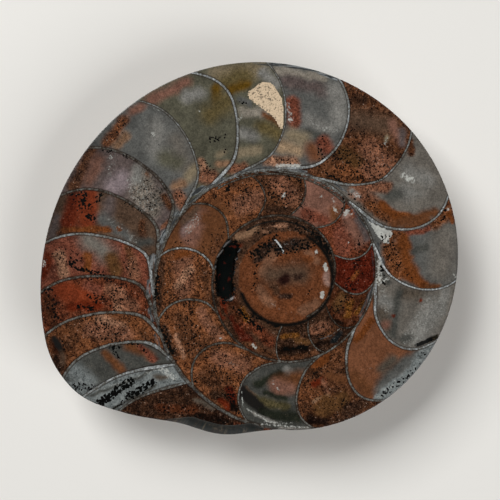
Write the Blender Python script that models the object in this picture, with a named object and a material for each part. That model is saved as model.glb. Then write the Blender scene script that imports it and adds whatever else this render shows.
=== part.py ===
"""Half of a fossil ammonite, sawn through the middle of its coil and polished.

Metres, +Z up. The half lies on the flank of its last whorl, with the polished section on top and level.
The origin is the middle of the bounding box's base, and +X runs along the section's longest side.
Angles are in degrees round the coil's axis, counter-clockwise from +X. An angle of growth goes on past a
full turn as the shell grows, so the wall at growth angle 400 lies at 40 degrees, one whorl outside growth
angle 40.
"""

import math

import bmesh
import bpy
import numpy as np

# Size of the finished half.
LENGTH = 0.0800
HALF_THICKNESS = 0.0130
MM = 0.001

# The shell's outer wall: angle of growth and radius in mm, wherever its growth speeds up or slows down.
WALL = (
    (-360, 9.3), (-270, 12.0), (-180, 14.0), (-90, 16.0), (-30, 16.4), (30, 18.3), (120, 22.1), (210, 26.5),
    (270, 29.1), (300, 29.8), (330, 31.0), (360, 32.8), (420, 38.2), (480, 43.8), (510, 45.7), (540, 47.0),
    (600, 49.6),
)
GROWTH_RATE = 0.098  # of the log of a radius, per radian of growth

# Where the last whorl is broken off: angle and radius in mm along the break.
BREAK_EDGE = (
    (185, 47.4), (202, 47.2), (209, 45.6), (220, 40.2), (230, 35.7), (248, 32.5), (266, 29.1), (275, 29.2),
)
BREAK_START = 185
BREAK_END = 270
BREAK_TAPER_START = 236
BREAK_SLOPE = 4.0 * MM
BREAK_SHOWS = 3.0 * MM

# A ledge of matrix along the break stands lower than the section.
LEDGE_MIDDLE = 246
LEDGE_HALF_SPAN = 18
LEDGE_WIDTH = 1.9 * MM
LEDGE_DROP = 1.5 * MM
LEDGE_BACK = 1.3
ARRIS = 0.25 * MM

# The natural flank: thickness and shape of a whorl, and how far it covers the whorl inside it.
FLANK_OVERSIZE = 1.02
FULL_GROWN = 400
UMBILICUS = 0.42
FLANK_FLATNESS = 3.2
UMBILICAL_SLOPE = 1.7
INNER_WHORLS = 1
SEAM_SOFTNESS = 1.0 * MM
HUB_DEPTH = 4.6 * MM
HUB_RADIUS = 7.0 * MM

# The open cavity near the coil's axis.
CAVITY_ANGLE = 173
CAVITY_HALF_SPAN = 31
CAVITY_RADIUS = 11.8 * MM
CAVITY_HALF_WIDTH = 1.9 * MM
CAVITY_DEPTH = 2.0 * MM
CAVITY_FLOOR_SCALE = 0.7
CAVITY_POINTS = 28

SECTORS = 126
RINGS = 32
RING_CROWDING = 0.9
HUB_SHARE = 0.03
SMOOTH_PASSES = 3
SMOOTHED_BELOW = 3.0 * MM

STONE_COLOUR = (0.27, 0.19, 0.14, 1.0)
STONE_ROUGHNESS = 0.35


def smooth_curve(x, knots, values):
    """Reads a smooth curve through the knots at x."""
    slopes = np.gradient(values, knots)
    i = int(np.clip(np.searchsorted(knots, x) - 1, 0, len(knots) - 2))
    span = knots[i + 1] - knots[i]
    t = (x - knots[i]) / span
    rise = t * t * (3 - 2 * t)
    start = values[i] * (1 - rise) + values[i + 1] * rise
    leave = slopes[i] * t * (1 - t) ** 2
    arrive = slopes[i + 1] * t * t * (1 - t)
    return start + span * (leave - arrive)


WALL_ANGLES, WALL_RADII = zip(*WALL)
BREAK_ANGLES, BREAK_RADII = zip(*BREAK_EDGE)


def wall_radius(growth):
    """Radius of the shell's outer wall. Inside the first knot it shrinks at the shell's mean rate."""
    if growth < WALL_ANGLES[0]:
        return WALL_RADII[0] * MM * math.exp(GROWTH_RATE * math.radians(growth - WALL_ANGLES[0]))
    return smooth_curve(growth, WALL_ANGLES, WALL_RADII) * MM


def edge_radius(angle):
    """Radius of the half's outline: the last whorl's wall, then the break, then the whorl before it."""
    if angle >= BREAK_END:
        return wall_radius(angle)
    wall = wall_radius(angle + 360)
    if angle < BREAK_START:
        return wall
    return min(wall, smooth_curve(angle, BREAK_ANGLES, BREAK_RADII) * MM)


def smooth_step(x, low, high):
    t = min(max((x - low) / (high - low), 0.0), 1.0)
    return t * t * (3 - 2 * t)


def ledge(angle):
    """Share of the ledge at an angle: 1 along its middle, 0 past its ends."""
    return smooth_step(LEDGE_HALF_SPAN - abs(angle - LEDGE_MIDDLE), 0, LEDGE_HALF_SPAN / 2)


def whorl_depth(growth, radius):
    """How far one whorl's flank lies below the section, at a radius."""
    outer = wall_radius(growth)
    seam = outer * UMBILICUS
    across = (radius - seam) / (outer - seam)
    if not 0 < across < 1:
        return 0.0
    grown = HALF_THICKNESS * FLANK_OVERSIZE
    if growth < FULL_GROWN:
        grown *= math.exp(GROWTH_RATE * math.radians(growth - FULL_GROWN))
    if across < 0.5:
        return grown * (1 - (1 - 2 * across) ** UMBILICAL_SLOPE)
    return grown * math.sqrt(1 - (2 * across - 1) ** FLANK_FLATNESS)


def flank_depth(angle, radius):
    """How far the natural back lies below the section: the whorls joined by soft seams."""
    depths = [HUB_DEPTH * (1 - (radius / HUB_RADIUS) ** 2)]
    for turn in range(-INNER_WHORLS, 1):
        depths.append(whorl_depth(angle + 360 * turn, radius))
    if angle < BREAK_END:
        edge = edge_radius(angle)
        slope = math.sqrt(min(1.0, max(0.0, edge - radius) / BREAK_SLOPE))
        broken = smooth_step(wall_radius(angle + 360) - edge, 0, BREAK_SHOWS)
        last = whorl_depth(angle + 360, radius) * (1 - broken + broken * slope)
        depths.append(last * (1 - smooth_step(angle, BREAK_TAPER_START, BREAK_END)))
    depths = [depth for depth in depths if depth > 0]
    if not depths:
        return 0.0
    deepest = max(depths)
    blend = sum(math.exp((depth - deepest) / SEAM_SOFTNESS) for depth in depths)
    return min(HALF_THICKNESS, deepest + SEAM_SOFTNESS * math.log(blend))


def back_depth(angle, radius):
    """The flank's depth, or the ledge's where the flank has not yet come down to it."""
    return max(flank_depth(angle, radius), LEDGE_BACK * (ARRIS + LEDGE_DROP * ledge(angle)))


def ring_points(angles, share, depth_of):
    """One ring of points at a share of the way from the coil's axis to the outline."""
    points = []
    for angle in angles:
        radius = edge_radius(angle) * share
        depth = depth_of(angle, radius)
        turn = math.radians(angle)
        points.append((radius * math.cos(turn), radius * math.sin(turn), HALF_THICKNESS - depth))
    return points


def middle_of_outline():
    """Middle and length of the outline's box, measured from the coil's axis."""
    outline = np.array(ring_points(range(360), 1.0, lambda angle, radius: 0.0))
    low = outline.min(axis=0)
    high = outline.max(axis=0)
    return (low + high) / 2, high[0] - low[0]


def add_ring(bm, points):
    """Extrudes the mesh's open rim once and moves the new rim to the points."""
    rim = [edge for edge in bm.edges if edge.is_boundary and edge.tag]
    made = bmesh.ops.extrude_edge_only(bm, edges=rim)["geom"]
    for edge in rim:
        edge.tag = False
    for item in made:
        if isinstance(item, bmesh.types.BMEdge):
            item.tag = item.is_boundary
    fresh = [item for item in made if isinstance(item, bmesh.types.BMVert)]
    fresh.sort(key=lambda vert: math.atan2(vert.co.y, vert.co.x) % (2 * math.pi))
    for vert, point in zip(fresh, points):
        vert.co = point


def fossil_mesh():
    """The half as one closed skin: the flat section, the arris and ledge, then the natural back."""
    angles = [360 * i / SECTORS for i in range(SECTORS)]
    bm = bmesh.new()
    circle = bmesh.ops.create_circle(bm, cap_ends=True, segments=SECTORS, radius=1.0)["verts"]
    circle.sort(key=lambda vert: math.atan2(vert.co.y, vert.co.x) % (2 * math.pi))
    for vert, angle in zip(circle, angles):
        radius = edge_radius(angle) - ARRIS - LEDGE_WIDTH * ledge(angle)
        turn = math.radians(angle)
        vert.co = (radius * math.cos(turn), radius * math.sin(turn), HALF_THICKNESS)
    for edge in bm.edges:
        edge.tag = edge.is_boundary
    add_ring(bm, ring_points(angles, 1.0, lambda angle, radius: ARRIS + LEDGE_DROP * ledge(angle)))
    for i in range(1, RINGS):
        # Rings crowd together near the outline, where the back turns up to the section.
        share = math.sin(math.pi / 2 * (1 - i / RINGS * (1 - HUB_SHARE))) ** RING_CROWDING
        add_ring(bm, ring_points(angles, share, back_depth))
    hub = bmesh.ops.contextual_create(bm, geom=[edge for edge in bm.edges if edge.is_boundary])["faces"]
    bmesh.ops.poke(bm, faces=hub)
    back = [vert for vert in bm.verts if 0 < vert.co.z < HALF_THICKNESS - SMOOTHED_BELOW]
    for _ in range(SMOOTH_PASSES):
        bmesh.ops.smooth_vert(bm, verts=back, factor=0.5, use_axis_z=True)
    bmesh.ops.recalc_face_normals(bm, faces=bm.faces)
    return bm


def cavity_mesh(top):
    """A bean-shaped plug, bent round the coil's axis, that leaves the cavity when it is cut away."""
    bm = bmesh.new()
    circle = bmesh.ops.create_circle(bm, cap_ends=True, segments=CAVITY_POINTS, radius=1.0)["verts"]
    for vert in circle:
        turn = math.radians(CAVITY_ANGLE + CAVITY_HALF_SPAN * vert.co.x)
        radius = CAVITY_RADIUS + CAVITY_HALF_WIDTH * vert.co.y
        vert.co = (radius * math.cos(turn), radius * math.sin(turn), top)
    lid = list(bm.faces)
    floor = bmesh.ops.extrude_face_region(bm, geom=lid)["geom"]
    floor = [item for item in floor if isinstance(item, bmesh.types.BMVert)]
    middle = sum((vert.co for vert in floor), floor[0].co * 0) / len(floor)
    for vert in floor:
        vert.co = middle + (vert.co - middle) * CAVITY_FLOOR_SCALE
        vert.co.z = HALF_THICKNESS - CAVITY_DEPTH
    bmesh.ops.recalc_face_normals(bm, faces=bm.faces)
    return bm


def stone_material():
    material = bpy.data.materials.new("polished_fossil_stone")
    material.use_nodes = True
    shader = material.node_tree.nodes["Principled BSDF"]
    shader.inputs["Base Color"].default_value = STONE_COLOUR
    shader.inputs["Roughness"].default_value = STONE_ROUGHNESS
    shader.inputs["Metallic"].default_value = 0.0
    return material


def add_object(name, bm):
    """Puts the mesh at the frame's origin, at its real length."""
    middle, length = middle_of_outline()
    for vert in bm.verts:
        vert.co.x = (vert.co.x - middle[0]) * LENGTH / length
        vert.co.y = (vert.co.y - middle[1]) * LENGTH / length
    mesh = bpy.data.meshes.new(name)
    bm.to_mesh(mesh)
    bm.free()
    mesh.shade_smooth()
    mesh.set_sharp_from_angle(angle=math.radians(40))
    obj = bpy.data.objects.new(name, mesh)
    bpy.context.collection.objects.link(obj)
    return obj


for leftover in list(bpy.data.objects):
    bpy.data.objects.remove(leftover, do_unlink=True)

ammonite = add_object("ammonite_half", fossil_mesh())
ammonite.data.materials.append(stone_material())

plug = add_object("cavity_plug", cavity_mesh(HALF_THICKNESS + CAVITY_DEPTH))
plug.hide_render = True
plug.display_type = "WIRE"

cut = ammonite.modifiers.new("open_cavity", "BOOLEAN")
cut.operation = "DIFFERENCE"
cut.object = plug
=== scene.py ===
import math

import bmesh
import bpy
import numpy as np
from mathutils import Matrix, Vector, kdtree, noise


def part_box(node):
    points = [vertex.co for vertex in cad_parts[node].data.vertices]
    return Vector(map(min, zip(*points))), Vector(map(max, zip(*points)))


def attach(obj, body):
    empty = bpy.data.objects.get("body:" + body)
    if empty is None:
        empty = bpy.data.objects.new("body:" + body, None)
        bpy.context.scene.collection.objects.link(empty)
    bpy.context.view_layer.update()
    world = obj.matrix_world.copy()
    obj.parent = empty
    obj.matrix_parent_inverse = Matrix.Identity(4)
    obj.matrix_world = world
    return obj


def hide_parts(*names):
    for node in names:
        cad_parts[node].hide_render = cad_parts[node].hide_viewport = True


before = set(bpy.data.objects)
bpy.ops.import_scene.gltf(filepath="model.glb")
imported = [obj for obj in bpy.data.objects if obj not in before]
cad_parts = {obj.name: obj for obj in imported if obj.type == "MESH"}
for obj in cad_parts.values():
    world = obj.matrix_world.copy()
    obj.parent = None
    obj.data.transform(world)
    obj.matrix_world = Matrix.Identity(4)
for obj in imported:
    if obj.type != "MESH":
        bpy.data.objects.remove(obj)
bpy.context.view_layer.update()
halfLow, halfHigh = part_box("ammonite_half")
mm = 0.001

# Sizes below are in mm from the coil's axis, and angles in degrees round it. A growth angle runs on
# past a full turn as the shell grows, so growth 400 lies at 40 degrees, one whorl outside growth 40.
coil = {
    "wall": (
        (-360, 9.3), (-270, 12.0), (-180, 14.0), (-90, 16.0), (-30, 16.4), (30, 18.3), (120, 22.1),
        (210, 26.5), (270, 29.1), (300, 29.8), (330, 31.0), (360, 32.8), (420, 38.2), (480, 43.8),
        (510, 45.7), (540, 47.0), (600, 49.6),
    ),
    "growthRate": 0.098,
    "breakEdge": (
        (185, 47.4), (202, 47.2), (209, 45.6), (220, 40.2), (230, 35.7), (248, 32.5), (266, 29.1),
        (275, 29.2),
    ),
    "breakStart": 185,
    "breakEnd": 270,
    "discRadius": 9.0,
}


def smoothCurve(x, knots, values):
    # a smooth curve through values at knots, read at x
    knots = np.asarray(knots, float)
    values = np.asarray(values, float)
    slopes = np.gradient(values, knots)
    i = np.clip(np.searchsorted(knots, x) - 1, 0, len(knots) - 2)
    span = knots[i + 1] - knots[i]
    t = (x - knots[i]) / span
    rise = t * t * (3 - 2 * t)
    curve = values[i] * (1 - rise) + values[i + 1] * rise
    return curve + span * (slopes[i] * t * (1 - t) ** 2 - slopes[i + 1] * t * t * (1 - t))


def smoothStep(x, low, high):
    # rises smoothly from 0 at low to 1 at high
    t = np.clip((x - low) / (high - low), 0, 1)
    return t * t * (3 - 2 * t)


def circle(angle):
    # points of the unit circle at angles in degrees
    turn = np.radians(angle)
    return np.stack([np.cos(turn), np.sin(turn)], -1)


wallAngles, wallRadii = zip(*coil["wall"])


def wallRadius(growth):
    # radius of the outer wall; inside the first knot it shrinks at the shell's mean rate
    growth = np.asarray(growth, float)
    inside = wallRadii[0] * np.exp(coil["growthRate"] * np.radians(growth - wallAngles[0]))
    known = smoothCurve(np.clip(growth, wallAngles[0], wallAngles[-1]), wallAngles, wallRadii)
    return np.where(growth < wallAngles[0], inside, known)


def edgeRadius(angle):
    # the half's outline: the last whorl's wall, then the break, then the whorl before it
    angle = np.asarray(angle, float) % 360
    knots, radii = zip(*coil["breakEdge"])
    wall = wallRadius(np.where(angle >= coil["breakEnd"], angle, angle + 360))
    broken = smoothCurve(np.clip(angle, knots[0], knots[-1]), knots, radii)
    inBreak = (angle >= coil["breakStart"]) & (angle < coil["breakEnd"])
    return np.where(inBreak, np.minimum(wall, broken), wall)


# where the coil's axis and its mm lie in the frame, so that the outline fills the CAD node's box
clearance = 0.9997  # of the box's length, to stay just inside it
turns = np.arange(0, 360, 0.5)
outline = circle(turns) * edgeRadius(turns)[:, None]
unit = (halfHigh.x - halfLow.x) / np.ptp(outline[:, 0]) * clearance
boxMiddle = np.array([halfLow.x + halfHigh.x, halfLow.y + halfHigh.y]) / 2
coilAxis = boxMiddle - (outline.min(0) + outline.max(0)) / 2 * unit
faceHeight = halfHigh.z


def toAngle(spots):
    # angle and radius of places in mm from the coil's axis
    return np.degrees(np.arctan2(spots[:, 1], spots[:, 0])) % 360, np.hypot(spots[:, 0], spots[:, 1])


def toCoil(points):
    # angle and radius round the coil's axis of points in the frame
    return toAngle((points[:, :2] - coilAxis) / unit)


def fromCoil(angle, radius):
    return circle(angle) * np.asarray(radius)[..., None] * unit + coilAxis


# Septa, the walls between the chambers, by the growth angle where each bulges back most. In degrees of
# growth: how far its outer end leads, how far it bends forward inside the bulge, and its tail along the
# inner wall. Then how far across the whorl it bulges, half its width in mm, and its tone (0 black,
# 1 bright silver).
septa = {
    -98: (4, 4, 0, 0.45, 0.10, 0.45),
    -68: (6, 7, 0, 0.45, 0.12, 0.40),
    -42: (9, 9, 0, 0.55, 0.12, 0.25),
    -13: (12, 9, 0, 0.50, 0.13, 0.45),
    16: (7, 11, 0, 0.50, 0.13, 0.55),
    49: (5, 11, 0, 0.50, 0.12, 0.45),
    77: (5, 10, 0, 0.50, 0.13, 0.30),
    104: (7, 12, 0, 0.45, 0.13, 0.30),
    134.5: (8, 11, 0, 0.45, 0.15, 0.40),
    163: (7, 8, 4, 0.45, 0.17, 0.70),
    192: (7, 9, 8, 0.50, 0.17, 0.50),
    221: (9, 11, 12, 0.50, 0.17, 0.40),
    247.4: (8, 13, 8, 0.50, 0.16, 0.45),
    275: (6, 12, 8, 0.60, 0.17, 0.45),
    301.5: (7.5, 14, 10, 0.60, 0.19, 0.55),
    329: (9, 14, 18, 0.55, 0.19, 0.70),
    355.4: (4, 12, 16, 0.60, 0.17, 0.85),
    381: (6, 14, 16, 0.58, 0.19, 0.70),
    405.5: (4, 18, 12, 0.50, 0.17, 0.60),
    428: (7, 11, 16, 0.50, 0.19, 0.75),
    450: (5, 11, 18, 0.52, 0.13, 0.60),
    466.6: (8, 10, 16, 0.62, 0.21, 0.75),
    485: (5, 9, 18, 0.55, 0.15, 0.60),
    501.6: (5, 7, 18, 0.45, 0.19, 0.40),
    514: (6, 6, 16, 0.50, 0.20, 0.36),
    527: (4.6, 5, 18, 0.45, 0.21, 0.70),
    539.3: (4, 5, 16, 0.48, 0.21, 0.38),
    550.5: (3, 6, 10, 0.55, 0.21, 0.50),
    560.5: (5, 7, 9, 0.56, 0.21, 0.60),
    570: (1, 8, 0, 0.60, 0.21, 0.75),
    578.5: (0, 8.5, 0, 0.60, 0.17, 0.45),
}


def septumGrowth(start, across):
    # growth angle of a septum at a place across the whorl
    lead, bend, tail, bulge = septa[start][:4]
    outwards = np.clip((across - bulge) / (1 - bulge), 0, 1)
    inwards = np.clip((bulge - across) / bulge, 0, 1)
    return start + lead * outwards ** 2.5 + bend * inwards ** 2 + tail * inwards ** 10


starts = sorted(septa)
coilEnd = 633  # growth angle where the last, broken chamber stops


def chamberSides(start, across):
    # growth angles of a chamber's own septum and of the next one, at a place across the whorl
    first = septumGrowth(start, across) if start in septa else start + 0 * across
    following = [other for other in starts if other > start]
    return first, septumGrowth(following[0], across) if following else coilEnd + 0 * across


def chamberPlace(start, along, across):
    # a place in a chamber, as mm from the coil's axis
    along, across = np.broadcast_arrays(np.asarray(along, float), np.asarray(across, float))
    if start == "disc":
        growth, radius = 360 * along, across * coil["discRadius"]
    else:
        first, last = chamberSides(start, across)
        growth = first + along * (last - first)
        inner = np.maximum(wallRadius(growth - 360), coil["discRadius"])
        radius = inner + across * (wallRadius(growth) - inner)
    return circle(growth) * radius[..., None]


def findChamber(spots):
    # for each spot: its chamber, growth angle, place across the whorl, and mm from the inner wall
    angle, radius = toAngle(spots)
    growth = angle - 720
    for _ in range(3):
        outside = (radius >= wallRadius(growth)) & (growth + 360 < coilEnd)
        growth = np.where(outside, growth + 360, growth)
    inner = wallRadius(growth - 360)
    across = np.clip((radius - inner) / (wallRadius(growth) - inner), 0, 1)
    chamber = np.full(len(spots), -360, object)
    for start in starts:
        chamber[growth >= septumGrowth(start, across)] = start
    chamber[radius < coil["discRadius"]] = "disc"
    return chamber, growth, across, radius - inner


print("coil: %d septa, 1 mm is %.6f in the frame" % (len(septa), unit))

# Minerals as polished: colour, then from 0 to 1 how granular, how mottled with black and white, how
# matt, and how softly a patch of it fades into what lies round it.
minerals = {
    # clear and cloudy calcite
    "calciteBright": ("#7f786d", 0.15, 0.0, 0.0, 0.9),
    "calcitePale": ("#706e69", 0.12, 0.1, 0.0, 0.9),
    "calciteBeige": ("#736753", 0.12, 0.0, 0.0, 0.9),
    "calciteGrey": ("#5f5a53", 0.10, 0.0, 0.0, 0.9),
    "calciteBlue": ("#51514e", 0.10, 0.0, 0.0, 0.9),
    "calciteGreen": ("#4d4b3e", 0.12, 0.0, 0.0, 0.9),
    "calciteOlive": ("#54492d", 0.25, 0.0, 0.0, 0.9),
    "calciteUmber": ("#4a4239", 0.20, 0.0, 0.0, 0.9),
    "calciteBrown": ("#4b392c", 0.30, 0.0, 0.0, 0.9),
    "calciteDark": ("#3f3f3b", 0.15, 0.0, 0.0, 0.9),
    "calciteDim": ("#33312c", 0.20, 0.1, 0.0, 0.9),
    "calciteBlack": ("#1e2119", 0.20, 0.0, 0.0, 0.7),
    "calcitePurple": ("#514643", 0.20, 0.1, 0.0, 0.9),
    # painted reflection: a pale lilac, for the soft reflection of a lamp in the polish
    "calciteLilac": ("#7e7173", 0.12, 0.1, 0.0, 0.9),
    "calciteRose": ("#6e4d40", 0.20, 0.0, 0.0, 0.9),
    "calcitePink": ("#68412b", 0.15, 0.0, 0.0, 0.9),
    "calciteGranular": ("#635c53", 0.90, 0.2, 0.1, 0.8),
    "rosePale": ("#866a5f", 0.20, 0.0, 0.0, 0.9),
    "honey": ("#765a44", 0.35, 0.0, 0.0, 0.7),
    "honeyPale": ("#87725a", 0.30, 0.0, 0.0, 0.8),
    # stained by iron
    "ochre": ("#543d0c", 0.20, 0.0, 0.0, 0.7),
    "ochreBrown": ("#50351c", 0.50, 0.0, 0.0, 0.6),
    "greenGold": ("#443e28", 0.40, 0.0, 0.0, 0.7),
    "gold": ("#5c3812", 1.00, 0.0, 0.0, 0.5),
    "ironOrange": ("#603416", 0.40, 0.0, 0.0, 0.4),
    "ironRust": ("#5a3720", 0.20, 0.0, 0.0, 0.7),
    "rustRed": ("#451407", 0.70, 0.0, 0.0, 0.5),
    "rustBrown": ("#40200f", 0.80, 0.0, 0.0, 0.5),
    "rustBlack": ("#120703", 0.50, 0.0, 0.0, 0.5),
    "haematite": ("#541c08", 0.40, 0.0, 0.0, 0.5),
    "haematiteBright": ("#6b2d16", 0.25, 0.0, 0.0, 0.5),
    "haematiteLight": ("#663829", 0.60, 0.0, 0.0, 0.5),
    # sandy fillings; tan, pale, orange, brown and shade are one sand at different brightness, partly its own
    # tone and partly painted light and painted shade
    "sandTan": ("#84604a", 0.90, 0.0, 0.1, 0.5),
    "sandPale": ("#6b4633", 0.90, 0.0, 0.1, 0.5),
    "sandOrange": ("#603920", 1.00, 0.0, 0.1, 0.5),
    "sandRed": ("#572b18", 1.00, 0.0, 0.1, 0.5),
    "sandBrown": ("#4a2c19", 1.00, 0.0, 0.1, 0.5),
    "sandShade": ("#2f1c10", 1.00, 0.0, 0.1, 0.5),
    "oliveNight": ("#1c190e", 0.60, 0.0, 0.1, 0.6),
    # the innermost whorl
    "discBrown": ("#5c341d", 0.40, 0.0, 0.0, 0.6),
    "discOrange": ("#63371c", 0.35, 0.0, 0.0, 0.6),
    "discPale": ("#6b4935", 0.30, 0.0, 0.0, 0.5),
    "discDark": ("#402a1c", 0.70, 0.0, 0.1, 0.4),
    "discShade": ("#2b1c14", 0.60, 0.0, 0.1, 0.5),
    "discPurple": ("#1f0c09", 0.30, 0.0, 0.0, 0.6),
    # white and black
    "spar": ("#77746e", 0.20, 0.4, 0.0, 0.4),
    "sparRim": ("#6c7170", 0.20, 0.8, 0.0, 0.3),
    "sparCloud": ("#6c7170", 0.20, 0.8, 0.0, 0.9),
    "blueBlack": ("#0e1214", 0.30, 0.3, 0.0, 0.4),
    "oxide": ("#0e0b08", 0.10, 0.0, 0.3, 0.3),
}

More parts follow.
